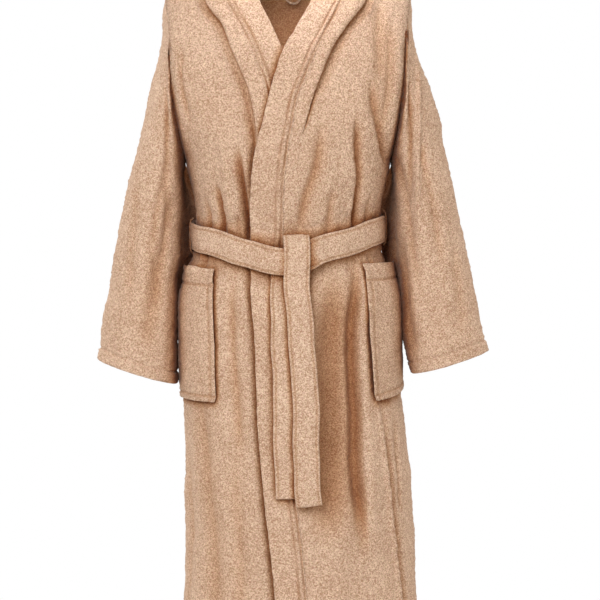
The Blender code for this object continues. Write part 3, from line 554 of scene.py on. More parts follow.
def clothWall(name, grid, cloth, flip=False, wrap=False, seams=(), deep=0, inside=0, material=None):
    # A closed wall under a grid of its outer points, its edges rounded. Seams are the edges that meet
    # another piece, and are rounded less. Deep says how far each point lies in a crease, painted as
    # shade there, and the inner-side argument how much painted shade the wall's inner side gets.
    fuzz = robe["fuzz"]
    deep = np.broadcast_to(deep, grid.shape[:2])
    grid, deep = edgeLines(grid, 0), edgeLines(deep, 0)
    if not wrap:
        grid, deep = edgeLines(grid, 1), edgeLines(deep, 1)
    normals = gridNormals(grid, flip, wrap)
    rows, columns = grid.shape[:2]
    sink = np.zeros((rows, columns))
    borders = {"top": fromLine(grid, 0), "bottom": fromLine(grid, -1)}
    if not wrap:
        borders.update(first=fromLine(grid, column=0), last=fromLine(grid, column=-1))
    for border, distance in borders.items():
        radius = robe["seamEdge"] if border in seams else cloth * robe["freeEdge"]
        sink = np.maximum(sink, bead(distance, radius))
    rough = dice.normal(0, fuzz, (rows, columns)) * np.clip(1 - sink / cloth * 1.2, 0.4, 1)
    outer = grid + normals * (rough - sink)[..., None]
    inner = grid - normals * (cloth - sink - dice.normal(0, fuzz * 0.5, (rows, columns)))[..., None]
    count = rows * columns
    index, faces = gridFaces(rows, columns, wrap)
    faces = faces if flip else faces[:, ::-1]
    edges = [index[0], index[-1][::-1]]
    if not wrap:
        edges += [index[:, -1], index[:, 0][::-1]]
    rims = []
    for edge in edges:
        rim = np.stack([edge[:-1], edge[:-1] + count, edge[1:] + count, edge[1:]], -1)
        rims.append(rim[:, ::-1] if flip else rim)
    faces = np.concatenate([faces, faces[:, ::-1] + count, *rims])
    piece = meshPiece(name, np.concatenate([outer.reshape(-1, 3), inner.reshape(-1, 3)]), faces)
    piece.data.materials.append(material or terry)
    shells.append((piece, outer, inner, normals, wrap, deep, inside))
    return piece, outer, normals


def shown(name, data):
    piece = bpy.data.objects.new(name, data)
    bpy.context.scene.collection.objects.link(piece)
    return piece


def meshPiece(name, points, faces):
    mesh = bpy.data.meshes.new(name)
    mesh.from_pydata(points.tolist(), [], faces.tolist())
    mesh.shade_smooth()
    piece = shown(name, mesh)
    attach(piece, "root")
    return piece


stitchRows = []


def stitchAlong(points, normals, height=0.0002):
    # Keeps a line of points for the topstitching, which is made as one piece at the end.
    stitchRows.append((points + normals * height, normals))


def upsample(grid, factor, axis=0):
    # Smooth curves through the lines of a coarse grid.
    grid = np.swapaxes(grid, 0, axis)
    padded = np.concatenate([2 * grid[:1] - grid[1:2], grid, 2 * grid[-1:] - grid[-2:-1]])
    lines = []
    for i in range(len(grid) - 1):
        p0, p1, p2, p3 = padded[i : i + 4]
        for k in range(factor):
            t = k / factor
            square, cube = 2 * p0 - 5 * p1 + 4 * p2 - p3, 3 * p1 - p0 - 3 * p2 + p3
            lines.append(0.5 * (2 * p1 + (p2 - p0) * t + square * t * t + cube * t**3))
    lines.append(grid[-1])
    return np.swapaxes(np.array(lines), 0, axis)


# materials

terryLook = {
    "loop": (0.93, 0.725, 0.575, 1),
    "gap": (0.475, 0.285, 0.185, 1),
    # painted shade: what the deepest creases and gaps, where shade falls, leave of the colour
    "hollow": (0.3, 0.125, 0.05, 1),  # what the deepest places leave of the colour
    "loopSize": 0.0015,
    "warp": 0.002,
    # the middle between gap and loop colour, and how far each part of the look moves it
    "middle": 0.45,
    "vary": {"rise": 0.45, "loop": 1.0, "fibre": 1.9, "tufts": 0.3, "patches": 0.45},
    "hue": 0.03,
    "bump": 0.0012,
    "beltLoop": (0.94, 0.745, 0.6, 1),
    "beltGap": (0.5, 0.305, 0.2, 1),
    "thread": (0.78, 0.58, 0.42, 1),
    "surface": {
        "Roughness": 1.0,
        "Specular IOR Level": 0.12,
        "Sheen Roughness": 0.55,
        "Sheen Tint": (1.0, 0.9, 0.8, 1),
    },
}


def addNode(tree, kind, inputs=(), **settings):
    # A node with its settings. Each input named is linked to the socket it is given, or set.
    node = tree.nodes.new(kind)
    for key, value in settings.items():
        setattr(node, key, value)
    for label, value in dict(inputs).items():
        if isinstance(value, bpy.types.NodeSocket):
            tree.links.new(value, node.inputs[label])
        else:
            node.inputs[label].default_value = value
    return node


def mixed(tree, share, first, second, blend="MIX"):
    values = {"Factor": share, "A": first, "B": second}
    node = addNode(tree, "ShaderNodeMix", values, data_type="RGBA", blend_type=blend)
    return node.outputs["Result"]


def terryGroup():
    # Looped pile: a colour that varies from loop to loop, darkened by painted shade in hollows, and the
    # loops' height.
    group = bpy.data.node_groups.new("terryPile", "ShaderNodeTree")
    sockets = (
        ("Loop Colour", "INPUT", "NodeSocketColor", terryLook["loop"]),
        ("Gap Colour", "INPUT", "NodeSocketColor", terryLook["gap"]),
        ("Painted Shade Tint", "INPUT", "NodeSocketColor", terryLook["hollow"]),
        ("Loop Size", "INPUT", "NodeSocketFloat", terryLook["loopSize"]),
        ("Painted Shade", "INPUT", "NodeSocketFloat", 0.0),
        ("Colour", "OUTPUT", "NodeSocketColor", (0, 0, 0, 1)),
        ("Height", "OUTPUT", "NodeSocketFloat", 0.0),
    )
    for label, way, kind, value in sockets:
        socket = group.interface.new_socket(name=label, in_out=way, socket_type=kind)
        socket.default_value = value
    given = addNode(group, "NodeGroupInput").outputs
    place = addNode(group, "ShaderNodeTexCoord").outputs["Object"]

    def sum2(kind, first, second):
        return addNode(group, "ShaderNodeMath", {0: first, 1: second}, operation=kind).outputs[0]

    def noise(scale, detail, roughness=0.5):
        values = {"Vector": place, "Scale": scale, "Detail": detail, "Roughness": roughness}
        return addNode(group, "ShaderNodeTexNoise", values).outputs

    def offMiddle(value, share):
        return sum2("MULTIPLY", sum2("SUBTRACT", value, 0.5), share)

    density = sum2("DIVIDE", 1.0, given["Loop Size"])
    values = {0: noise(420, 2)["Color"], 1: [terryLook["warp"]] * 3, 2: place}
    warp = addNode(group, "ShaderNodeVectorMath", values, operation="MULTIPLY_ADD").outputs["Vector"]
    loops = addNode(group, "ShaderNodeTexVoronoi", {"Vector": warp, "Scale": density}).outputs
    apart = addNode(group, "ShaderNodeSeparateColor", {0: loops["Color"]}).outputs
    parts = {
        "rise": sum2("SUBTRACT", 1.0, loops["Distance"]),
        "loop": apart[0],
        "fibre": noise(sum2("MULTIPLY", density, 0.85), 2, 0.6)["Fac"],
        "tufts": noise(150, 2)["Fac"],
        "patches": noise(17, 3)["Fac"],
    }
    level = terryLook["middle"]
    for part, value in parts.items():
        level = sum2("ADD", level, offMiddle(value, terryLook["vary"][part]))
    shade = mixed(group, level, given["Gap Colour"], given["Loop Colour"])
    turn = sum2("ADD", 0.5, offMiddle(apart[1], terryLook["hue"]))
    hue = addNode(group, "ShaderNodeHueSaturation", {"Color": shade, "Hue": turn}).outputs["Color"]
    # painted shade: the pile's colour is multiplied by the shade tint, as strongly as the mesh's shade
    # mark says
    values = {"Color": given["Painted Shade Tint"], "Gamma": given["Painted Shade"]}
    shadeColour = addNode(group, "ShaderNodeGamma", values).outputs["Color"]
    height = sum2("ADD", sum2("MULTIPLY", parts["rise"], 0.7), sum2("MULTIPLY", parts["fibre"], 0.5))
    result = {"Colour": mixed(group, 1.0, hue, shadeColour, "MULTIPLY"), "Height": height}
    addNode(group, "NodeGroupOutput", result)
    return group


def newMaterial(name, values):
    material = bpy.data.materials.new(name)
    material.use_nodes = True
    shader = material.node_tree.nodes["Principled BSDF"]
    for label, value in values.items():
        shader.inputs[label].default_value = value
    return material, shader


def dress(tree, shader, colour, height, strength, distance):
    values = {"Height": height, "Strength": strength, "Distance": distance}
    bump = addNode(tree, "ShaderNodeBump", values)
    tree.links.new(colour, shader.inputs["Base Color"])
    tree.links.new(bump.outputs["Normal"], shader.inputs["Normal"])


def clothMaterial(name, loop, gap, sheen=0.25):
    material, shader = newMaterial(name, {**terryLook["surface"], "Sheen Weight": sheen})
    tree, group = material.node_tree, bpy.data.node_groups.get("terryPile") or terryGroup()
    # the painted shade mark, kept on the mesh's points
    hollow = addNode(tree, "ShaderNodeAttribute", attribute_name="hollow").outputs["Fac"]
    values = {"Loop Colour": loop, "Gap Colour": gap, "Painted Shade": hollow}
    pile = addNode(tree, "ShaderNodeGroup", values, node_tree=group).outputs
    dress(tree, shader, pile["Colour"], pile["Height"], 0.9, terryLook["bump"])
    material.diffuse_color = loop
    return material


def threadMaterial():
    material, shader = newMaterial("sewingThread", {"Roughness": 0.7, "Sheen Weight": 0.2})
    tree = material.node_tree
    place = addNode(tree, "ShaderNodeTexCoord").outputs["Object"]
    values = {"Vector": place, "Scale": 900, "Distortion": 2}
    twist = addNode(tree, "ShaderNodeTexWave", values).outputs["Fac"]
    dark = [0.7 * value for value in terryLook["thread"][:3]] + [1]
    dress(tree, shader, mixed(tree, twist, dark, terryLook["thread"]), twist, 0.5, 0.0002)
    return material


terry = clothMaterial("terryTan", terryLook["loop"], terryLook["gap"])
terryBelt = clothMaterial("terryBelt", terryLook["beltLoop"], terryLook["beltGap"], 0.3)
thread = threadMaterial()


def declare(piece, node):
    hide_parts(node)


# fronts and bands

def evenRows(count):
    # Rows from the shoulder ridge to the armpit, evenly apart on the cloth.
    fine = np.linspace(0, 1, 900)
    run = runAlong(bodyPoint(38, fine))
    return np.interp(np.linspace(0, run[-1], count, endpoint=False), run, fine)


topRows = evenRows(88)
lowerRows = np.linspace(1, 2, 207)
bodyRows = np.concatenate([topRows, lowerRows])

# The roll's section beside the band: how far out past the roll line, and the share of its height.
rollSection = (
    (-0.8, 0.97),
    (-0.45, 1),
    (-0.18, 0.97),
    (0.02, 0.86),
    (0.13, 0.68),
    (0.16, 0.5),
    (0.12, 0.32),
    (0.02, 0.16),
    (-0.12, 0.05),
    (-0.17, -0.02),
    (-0.08, -0.07),
    (0.12, -0.08),
    (0.42, -0.05),
    (0.85, -0.01),
)
foldGuide = Table(
    "height left right",
    (0.002, 58, 58),
    (-0.052, 54, 54),
    (-0.1, 46, 46),
    (-0.16, 40.5, 38),
    (-0.28, 41, 30),
    (-0.4, 43, 24),
    (-0.46, 42, 22),
    (-0.56, 36.5, 17.6),
    (-0.7, 34, 18.2),
    (-0.86, 32, 16.5),
    (-1.16, 32.5, 14),
)


def guideAngle(side, row):
    angle = np.full_like(row, 40.0)
    for _ in range(10):
        angle = foldGuide.read(bodyPoint(side * angle, row)[..., 2], named(side))
    return side * angle


def finer(count, *places):
    # Even parts from 0 to 1, with more of them round each place given as (middle, reach).
    parts = [np.linspace(0, 1, count)]
    for middle, reach in places:
        parts[0] = parts[0][abs(parts[0] - middle) > reach * 1.15]
        parts.append(np.linspace(middle - reach, middle + reach, 7))
    return np.sort(np.concatenate(parts))


def spread(start, end, count):
    # Columns of angles evenly between two lines, without the last one.
    parts = np.arange(count) / count
    return start[:, None] + (end - start)[:, None] * parts[None]


frontSize = {
    # columns from the band to the roll, on to the big fold, across it and on to the side
    "toRoll": 8,
    "toFold": 22,
    "fold": 18,
    "toSide": 60,
    "foldReach": 5.5,  # degrees on each side of the fold guide
    "pastRoll": 7.5,
    # half the roll's width where it stands no higher than the cloth, its width for its height where
    # it does, and the height at which it has its whole form
    "plainRoll": 0.007,
    "rollWide": 1.25,
    "rollFull": 0.008,
    "besideWide": 0.02,
}


def frontPanel(side, name):
    table = frontOf(side)
    rows = bodyRows
    seam = lineAngle(table, "seam", side, rows)
    roll = lineAngle(table, "roll", side, rows)
    atRoll = bodyPoint(roll, rows)
    stand = rollStand.read(atRoll[:, 2], named(side))
    over = ease(stand / frontSize["rollFull"])
    plain = np.linspace(-frontSize["plainRoll"], frontSize["plainRoll"], len(rollSection))
    angles, shares = [], []
    for (out, up), even in zip(rollSection, plain):
        x = atRoll[:, 0] + side * mix(even, stand * out * frontSize["rollWide"], over)
        angles.append(angleOf(x, rows))
        shares.append(np.full_like(rows, up))
    angles, shares = np.stack(angles, 1), np.stack(shares, 1)
    guide = side * guideAngle(side, rows)
    guide = side * np.maximum(guide, side * angles[:, -1] + frontSize["pastRoll"])
    end = sideAngle(rows) * side
    before, after = (guide + turn * side * frontSize["foldReach"] for turn in (-1, 1))
    first = spread(seam, angles[:, 0], frontSize["toRoll"])
    middle = spread(angles[:, -1], before, frontSize["toFold"])[:, 1:]
    fold = spread(before, after, frontSize["fold"])
    rest = spread(after, end, frontSize["toSide"])
    angle = np.concatenate([first, angles, middle, fold, rest, end[:, None]], 1)
    row = np.broadcast_to(rows[:, None], angle.shape)
    place = bodyPoint(angle, row)
    x, height = place[..., 0], place[..., 2]
    lift = frontLift(side, x, height)
    # In the roll's own columns the section sets the height, so that its edge can overhang.
    inRoll, own = np.zeros_like(angle), np.zeros_like(angle)
    columns = slice(frontSize["toRoll"], frontSize["toRoll"] + len(rollSection))
    inRoll[:, columns] = over[:, None]
    own[:, columns] = shares * stand[:, None]
    base = lift - rollHeight(side, side * x, height)
    lift = mix(lift, own + np.maximum(base, 0) * (side > 0), inRoll)
    past = side * x - table.read(height, "roll")
    sink = besideRoll.read(height, named(side)) * ease((past - 0.001) / 0.005)
    lift = lift - sink * hump(np.maximum(past, 0), frontSize["besideWide"])
    return bodyPanel(name, place, angle, row, lift, armholeDip[named(side)], side < 0)


def bodyPanel(name, place, angle, row, lift, share, flip=False, ways=1):
    # The creases, armhole and hem that the fronts and the back have in common.
    edges = [fromLine(place, column=column) for column in (0, -1)]
    fromArmhole = np.where(row < 1, edges[1] if ways > 0 else np.minimum(*edges), 1)
    deep = creaseDepth(angle, place[..., 2])
    uneven = lumps(place) * ease(fromArmhole / armholeDip["calm"])
    lift = lift - deep + uneven - hemGroove(place[..., 2])
    grid = place + bodyNormal(angle, row) * lift[..., None]
    grid[..., 1] += ways * armholeFold(fromArmhole, row, share)
    # the creases and the wall's inner side get painted shade
    seams, inside = ("top", "first", "last"), paintedShadeLook["inside"]
    piece, outer, normals = clothWall(name, grid, robe["cloth"], flip, False, seams, deep, inside)
    line = len(outer) - hemLine["stitches"][ways > 0]
    stitchAlong(outer[line], normals[line])
    return piece


# millimetres from the band's edge
bandColumns = np.array(
    [0, 2, 5, 9, 13, 17, 21, 25, 29, 32.5, 35, 36.8, 38, 39.2, 40.5, 42, 43.5, 44.8, 46, 47.2, 49]
)
bandSize = {
    "cloth": 0.0046,
    "proud": 0.001,
    "grooves": (38, 46),
    "groove": 0.0026,
    "grooveWide": 1.15,
    "welt": 0.0012,
    "curlWide": 16,
    "stitches": 12 + 3,  # column, counting the three extra ones along the edge
}


def bandPanel(side, name):
    table = frontOf(side)
    edge, seam = (lineAngle(table, line, side, bodyRows) for line in ("edge", "seam"))
    angle = edge[:, None] + (seam - edge)[:, None] * bandColumns[None] / bandColumns[-1]
    row = np.broadcast_to(bodyRows[:, None], angle.shape)
    place = bodyPoint(angle, row)
    height = place[..., 2]
    lift = frontLift(side, place[..., 0], height) - creaseDepth(angle, height) + bandSize["proud"]
    welt = bandSize["welt"] * hump(bandColumns - np.mean(bandSize["grooves"]), 3, 4)
    for groove in bandSize["grooves"]:
        welt = welt - bandSize["groove"] * hump(bandColumns - groove, bandSize["grooveWide"])
    lift = lift + lumps(place) + welt[None]
    if side > 0:
        curl = overlapEdge["curl"] * (1 - ease(bandColumns / bandSize["curlWide"]))[None]
        lift = lift + curl * belowChest(height)
    grid = place + bodyNormal(angle, row) * lift[..., None]
    piece, outer, normals = clothWall(name, grid, bandSize["cloth"], side < 0, seams=("top", "last"))
    line = bandSize["stitches"]
    stitchAlong(outer[:, line], normals[:, line])
    return piece


print("fronts and bands")
declare(frontPanel(1, "frontLeftPanel"), "front_left")
declare(frontPanel(-1, "frontRightPanel"), "front_right")
declare(bandPanel(1, "frontBandLeft"), "band_left")
declare(bandPanel(-1, "frontBandRight"), "band_right")


# back


def neckLine(parts):
    # Angle and row along the neck seam on the wearer's left, from the ridge to the nape.
    turn = np.radians(90 * parts)
    row = robe["napeRow"] * np.sin(turn)
    return 180 - angleOf(robe["neckHalfWidth"] * np.cos(turn), row), row


backSize = {"neckColumns": 27, "shoulderColumns": 22, "topRows": 84, "rows": 200}


def backPanel(name):
    first, count = 90.001, backSize["shoulderColumns"]  # just past the side, so that it counts as back
    neckAngle, neckRow = neckLine(np.linspace(0, 1, backSize["neckColumns"]))
    half = np.concatenate([mix(first, neckAngle[0], np.arange(count) / count), neckAngle])
    halfTop = np.concatenate([np.zeros(count), neckRow])
    angle = np.concatenate([half, 360 - half[-2::-1]])
    top = np.concatenate([halfTop, halfTop[-2::-1]])
    rows = np.concatenate([evenRows(backSize["topRows"]), np.linspace(1, 2, backSize["rows"])])
    start = sideAngle(rows)
    spot = np.where(rows[:, None] < 1, mix(top[None], 1, rows[:, None]), rows[:, None])
    turned = mix(start[:, None], 360 - start[:, None], (angle[None] - first) / (360 - 2 * first))
    angle = np.where(rows[:, None] > 1, turned, angle[None])
    return bodyPanel(name, bodyPoint(angle, spot), angle, spot, 0, armholeDip["behind"], ways=-1)


print("back")
declare(backPanel("backPanel"), "back")


# sleeves

leftSleeve = Table(
    "ring outerX outerZ innerX innerZ halfDepth forward lean",
    (0, 0.194, -0.038, 0.163, -0.295, 0.075, 0, 0),
    (1, 0.1995, -0.1, 0.1645, -0.306, 0.075, 0, 0),
    (2, 0.21, -0.145, 0.1665, -0.319, 0.074, 0, 0.002),
    (3, 0.2235, -0.178, 0.168, -0.336, 0.073, 0.001, 0.013),
    (4, 0.2373, -0.2245, 0.1695, -0.358, 0.071, 0.002, 0.03),
    (5, 0.2504, -0.28, 0.1715, -0.392, 0.068, 0.004, 0.049),
    (6, 0.264, -0.338, 0.1735, -0.428, 0.064, 0.007, 0.063),
    (7, 0.2749, -0.4, 0.1745, -0.47, 0.06, 0.01, 0.058),
    (8, 0.2881, -0.456, 0.1768, -0.515, 0.057, 0.013, 0.032),
    (9, 0.2997, -0.516, 0.1795, -0.562, 0.055, 0.016, 0.016),
    (10, 0.3085, -0.558, 0.187, -0.598, 0.054, 0.018, 0.014),
    (11, 0.3178, -0.599, 0.1975, -0.636, 0.053, 0.02, 0.014),
)
rightSleeve = Table(
    "ring outerX outerZ innerX innerZ halfDepth forward lean",
    (0, 0.194, -0.038, 0.163, -0.295, 0.075, 0, 0),
    (1, 0.199, -0.095, 0.1645, -0.306, 0.075, 0, 0),
    (2, 0.2085, -0.145, 0.166, -0.319, 0.074, 0, 0.002),
    (3, 0.221, -0.2, 0.167, -0.34, 0.073, 0.001, 0.014),
    (4, 0.2362, -0.264, 0.168, -0.372, 0.071, 0.002, 0.037),
    (5, 0.2525, -0.32, 0.1695, -0.41, 0.068, 0.004, 0.058),
    (6, 0.2625, -0.37, 0.172, -0.447, 0.064, 0.007, 0.064),
    (7, 0.273, -0.43, 0.1765, -0.492, 0.06, 0.01, 0.048),
    (8, 0.283, -0.492, 0.1765, -0.542, 0.057, 0.013, 0.026),
    (9, 0.2945, -0.552, 0.1775, -0.594, 0.054, 0.017, 0.012),
    (10, 0.3055, -0.612, 0.18, -0.652, 0.052, 0.02, 0.012),
)
# Creases on a sleeve, written as the body's are: by ring from the armhole, and by the angle from the
# sleeve's outer line round over its front.
sleeveCreases = {
    "left": (
        (-0.006, 5, 6, 1.8, (0.8, 8), (1.3, 24), (2, 45), (3, 72), (4, 89), (5.3, 103), (6.6, 106)),
        (0.0055, 9, 10, 1.8, (0.8, 56), (2, 84), (3, 101), (4, 113), (5.4, 124)),
        (0.006, 9, 9, 1.8, (0.4, 150), (2, 142), (4, 134), (6.5, 124), (8.5, 116)),
        (0.0045, 6, 8, 1.8, (3.2, 84), (5, 80), (6.6, 77), (8, 76)),
        (0.0075, 12, 22, 1.8, (5.6, 148), (6.6, 148), (8.5, 146), (10.6, 142)),
        (0.003, 9, 9, 1.8, (7, 50), (8.5, 56), (10.2, 66)),
        (0.005, 12, 12, 1.8, (1, 214), (3, 226), (5, 240)),
        (0.004, 14, 14, 1.8, (4.5, 262), (7, 250), (9.5, 246)),
        (0.004, 9, 9, 1.8, (2, 318), (4.5, 312), (7.5, 310)),
    ),
    "right": (
        (0.0075, 11, 9, 1.8, (3.6, 140), (5, 130), (6.5, 122), (8.6, 116)),
        (0.0045, 7, 9, 1.8, (3, 106), (4.5, 101), (5.8, 98), (7, 97)),
        (0.0055, 12, 14, 1.8, (1, 64), (2, 88), (3, 105), (4, 117), (5.4, 126)),
        (0.006, 12, 14, 1.8, (6.2, 112), (7.6, 106), (9.4, 104)),
        (0.003, 9, 9, 1.8, (4.5, 52), (6.5, 60), (8.5, 70)),
        (0.005, 12, 12, 1.8, (1, 216), (3, 228), (5, 242)),
        (0.004, 14, 14, 1.8, (4, 264), (6.5, 252), (9, 246)),
        (0.004, 9, 9, 1.8, (2, 320), (4.5, 314), (7.5, 312)),
    ),
}
sleeveSize = {
    "rings": 186,
    "sides": 112,
    "long": 0.52,
    "cuffStitch": 0.019,
    "groove": 0.002,
    "hemProud": 0.0012,
    # the hollow beside the armhole in front
    "capDip": 0.01,
    "capMiddle": 0.013,
    "capReach": 0.013,
    "capShare": {"left": 1, "right": 0.8},
    # how much of the armhole's curve the first rings keep
    "fade": ((0, 1, 2, 3), (1, 0.55, 0.2, 0)),
}


def sleeveTube(side, name, table):
    last = table.keys[-1]
    cuff = sleeveSize["cuffStitch"] / sleeveSize["long"]
    ring = last * finer(sleeveSize["rings"], (1 - cuff, 0.006 / sleeveSize["long"]))
    read = {key: table.read(ring, key) for key in table.names[1:]}
    turn = np.arange(sleeveSize["sides"]) * 2 * math.pi / sleeveSize["sides"]
    top, low = (
        np.stack([read[line + "X"], -read["forward"], read[line + "Z"]], -1)[:, None]
        for line in ("outer", "inner")
    )
    middle, arm = (top + low) / 2, (top - low) / 2
    around = np.cos(turn)[None, :, None]
    grid = middle + arm * around
    grid[..., 1] -= read["halfDepth"][:, None] * np.sin(turn)[None]
    row = np.where(turn <= math.pi, turn / math.pi, 2 - turn / math.pi)
    hole = bodyPoint(90, row)[..., 0]
    behind = np.maximum(0, -np.sin(turn)) ** np.where(turn > 1.5 * math.pi, 3.0, 1.5)
    grid[..., 0] -= read["lean"][:, None] * behind[None]
    fade = np.interp(ring, *sleeveSize["fade"])
    straight = mix(read["outerX"][0], read["innerX"][0], (1 - np.cos(turn)) / 2)
    grid[..., 0] += fade[:, None] * (hole - straight)[None] + robe["seamGap"] * (fade[:, None] == 1)
    degrees = np.degrees(turn)[None]
    fromCap, fromCuff = fromLine(grid, 0), fromLine(grid, -1)
    dip = creaseDepth(degrees, ring[:, None], sleeveCreases[named(side)]) * ease(ring / 0.6)[:, None]
    deep = dip
    world = np.stack([grid[..., 0] * side, grid[..., 1], grid[..., 2]], -1)
    dip = dip - lumps(world) * ease(fromCap / armholeDip["calm"])
    hollow = sleeveSize["capDip"] * hump(fromCap - sleeveSize["capMiddle"], sleeveSize["capReach"])
    inFront = ease((row - 0.3) / 0.3) * np.maximum(np.sin(turn), 0)
    hollow = hollow * ease(fromCap / 0.008) * inFront[None] * sleeveSize["capShare"][named(side)]
    share = np.where(turn < math.pi, armholeDip[named(side)], armholeDip["behind"])[None]
    grid[..., 1] += np.sign(np.sin(turn)) * (armholeFold(fromCap, row[None], share) + hollow)
    dip = dip + sleeveSize["groove"] * hump(fromCuff - sleeveSize["cuffStitch"], 0.002)
    dip = dip - sleeveSize["hemProud"] * ease((sleeveSize["cuffStitch"] - fromCuff) / 0.004)
    grid = grid - gridNormals(grid, True, True) * dip[..., None]
    grid[..., 0] *= side
    # the creases, the hollow beside the armhole and the inner side get painted shade
    deep, inside = deep + 1.2 * hollow, paintedShadeLook["inside"]
    piece, outer, normals = clothWall(name, grid, robe["cloth"], side > 0, True, ("top",), deep, inside)
    line = int(np.argmin(abs(fromLine(outer, -1).mean(1) - sleeveSize["cuffStitch"])))
    stitchAlong(*(np.concatenate([lines[line], lines[line, :1]]) for lines in (outer, normals)))
    return piece


print("sleeves")
declare(sleeveTube(1, "sleeveLeftTube", leftSleeve), "sleeve_left")
declare(sleeveTube(-1, "sleeveRightTube", rightSleeve), "sleeve_right")


# hood

hoodForm = Table(
    "share foldOut foldRow seamX seamY seamZ edgeX edgeY edgeZ bulge",
    (0, 0, 1.03, 0, 0.172, -0.04, 0, 0.15, 0.004, 0.06),
    (0.25, 0.078, 0.93, 0.066, 0.158, -0.026, 0.051, 0.135, 0.016, 0.056),
    (0.5, 0.132, 0.6, 0.112, 0.115, -0.002, 0.083, 0.096, 0.033, 0.04),
    (0.75, 0.15, 0.22, 0.118, 0.058, 0.011, 0.08, 0.05, 0.039, 0.022),
    (1, 0.128, 0, 0.093, 0, 0.018, 0.0625, 0, 0.026, 0.01),
)
hoodSize = {
    "stand": ((0.0003, -0.0015), (0.007, -0.0012), (0.0108, 0.0022), (0.0075, 0.0056), (0.0, 0.0046)),
    "offBack": 0.0085,
    "under": (0.12, 0.28, 0.44, 0.62, 0.8, 0.95),
    "outer": (0.2, 0.4, 0.6, 0.8, 1.0),
    "turn": (0.012, 0.0045),
    "columns": 15,
    "bandCloth": 0.0044,
    # soft creases of the pouch: depth, place across, slant and width
    "creases": ((0.005, 0.62, 0.25, 0.06), (0.004, 0.84, 0.1, 0.045), (0.0035, 0.36, 0.4, 0.06)),
}


def hoodLines():
    # Lines of the cloth's middle round the half hood, from the neck seam to its edge.
    parts = np.linspace(0, 1, hoodSize["columns"])
    share = 1 - parts
    angle, row = neckLine(parts)
    seats, normal = bodyPoint(angle, row), bodyNormal(angle, row)
    tangent = np.gradient(seats, axis=0)
    tangent[-1] = (-1, 0, 0)
    way = unit(np.cross(tangent, normal))
    towards = np.array((0, 0, 0.03)) - seats
    way = way * np.where((way * towards).sum(-1) < 0, -1, 1)[:, None]
    way[0, 1] = 0
    way = unit(way)
    lines = [seats + way * along + normal * off for along, off in hoodSize["stand"]]
    foldRow = hoodForm.read(share, "foldRow")
    foldAngle = 180 - angleOf(hoodForm.read(share, "foldOut"), foldRow)
    for part in hoodSize["under"]:
        spot = mix(angle, foldAngle, part), mix(row, foldRow, part)
        lines.append(bodyPoint(*spot) + bodyNormal(*spot) * hoodSize["offBack"])
    below = lines[-1]
    normal = bodyNormal(foldAngle, foldRow)
    lower = [[hoodForm.read(share, line + axis) for axis in "XYZ"] for line in ("seam", "edge")]
    seam, edge = (np.stack(line, -1) for line in lower)
    ahead = unit(lines[-1] - lines[-2])
    bulge = hoodForm.read(share, "bulge")[:, None]
    radius = mix(*hoodSize["turn"], share)[:, None]
    centre = below + normal * radius
    for turn in (45, 90, 135, 180):
        turn = math.radians(turn)
        lines.append(centre - normal * radius * math.cos(turn) + ahead * radius * math.sin(turn))
    start = lines[-1]
    down = unit(seam - edge)
    reach = np.linalg.norm(seam - start, axis=-1, keepdims=True)
    first = start + normal * bulge - ahead * reach * 0.1
    second = seam + down * reach * 0.35 + normal * bulge * 0.2
    for part in hoodSize["outer"]:
        rest = 1 - part
        curve = start * rest**3 + first * 3 * rest**2 * part + second * 3 * rest * part**2
        lines.append(curve + seam * part**3)
    lines += [mix(seam, edge, 0.5), edge]
    return np.array(lines)


def hoodHalf(side, name, bandName):
    lines = hoodLines()
    grid = upsample(upsample(lines, 4, 0), 3, 1)
    seamLine = (len(lines) - 3) * 4
    normals = gridNormals(grid)
    normals[:, -1, 0] = 0
    normals = unit(normals)
    u = np.linspace(0, 1, grid.shape[1])[None]
    v = np.linspace(0, 1, grid.shape[0])[:, None]
    outerPart = ease((v - 0.5) / 0.12) * ease((0.93 - v) / 0.1)
    dip = 0
    for depth, middle, slant, wide in hoodSize["creases"]:
        dip = dip + depth * hump(u - middle + slant * (v - 0.7), wide) * outerPart
    grid = grid + normals * (robe["cloth"] / 2 - dip)[..., None]
    lift = ripple(grid, 0.08, 0.001) + ripple(grid, 0.035, 0.0004)
    grid = grid + normals * (lift * (1 - u**8))[..., None]
    grid[:, -1, 0] = robe["seamGap"] / 2
    grid[..., 0] *= side
    flip, sides = side < 0, ("first", "last")
    main, *_ = clothWall(name, grid[: seamLine + 1], robe["cloth"], flip, seams=("bottom", *sides))
    cloth = hoodSize["bandCloth"]
    band, outer, normals = clothWall(bandName, grid[seamLine:], cloth, flip, seams=("top", *sides))
    stitchAlong(outer[5], normals[5])
    return main, band


print("hood")
for side in (1, -1):
    way = named(side)
    main, band = hoodHalf(side, f"hoodHalf{way.title()}", f"hoodBand{way.title()}")
    declare(main, f"hood_{way}")
    declare(band, f"hood_band_{way}")


# pockets

pocketForm = {
    "left": {"inner": (0.117, 0.131), "top": -0.461, "bottom": -0.671, "rise": 0.022, "gape": 0.0065},
    "right": {"inner": (0.116, 0.11), "top": -0.468, "bottom": -0.673, "rise": 0.0, "gape": 0.0},
    "beforeSeam": 3.5,
    "rows": 64,
    "columns": 44,
    "fine": 0.0045,  # closer lines this far on each side of a stitched groove
    "swell": 0.003,
    "off": 0.0012,
    "hem": 0.024,
    "hemGroove": (0.0018, 0.002),
    "edge": 0.0095,
    # groove depth and width beside the inner, the low and the rear edge
    "grooves": ((0.0018, 0.0017), (0.0014, 0.0017), (0.001, 0.0022)),
    "corner": 1.3,
    "cornerTall": 0.06,
    # painted shade in the stitched grooves, by this strength
    "grooveShade": 5,  # how much the grooves are marked as hollow
    "wide": 0.104,  # about, along the cloth
}


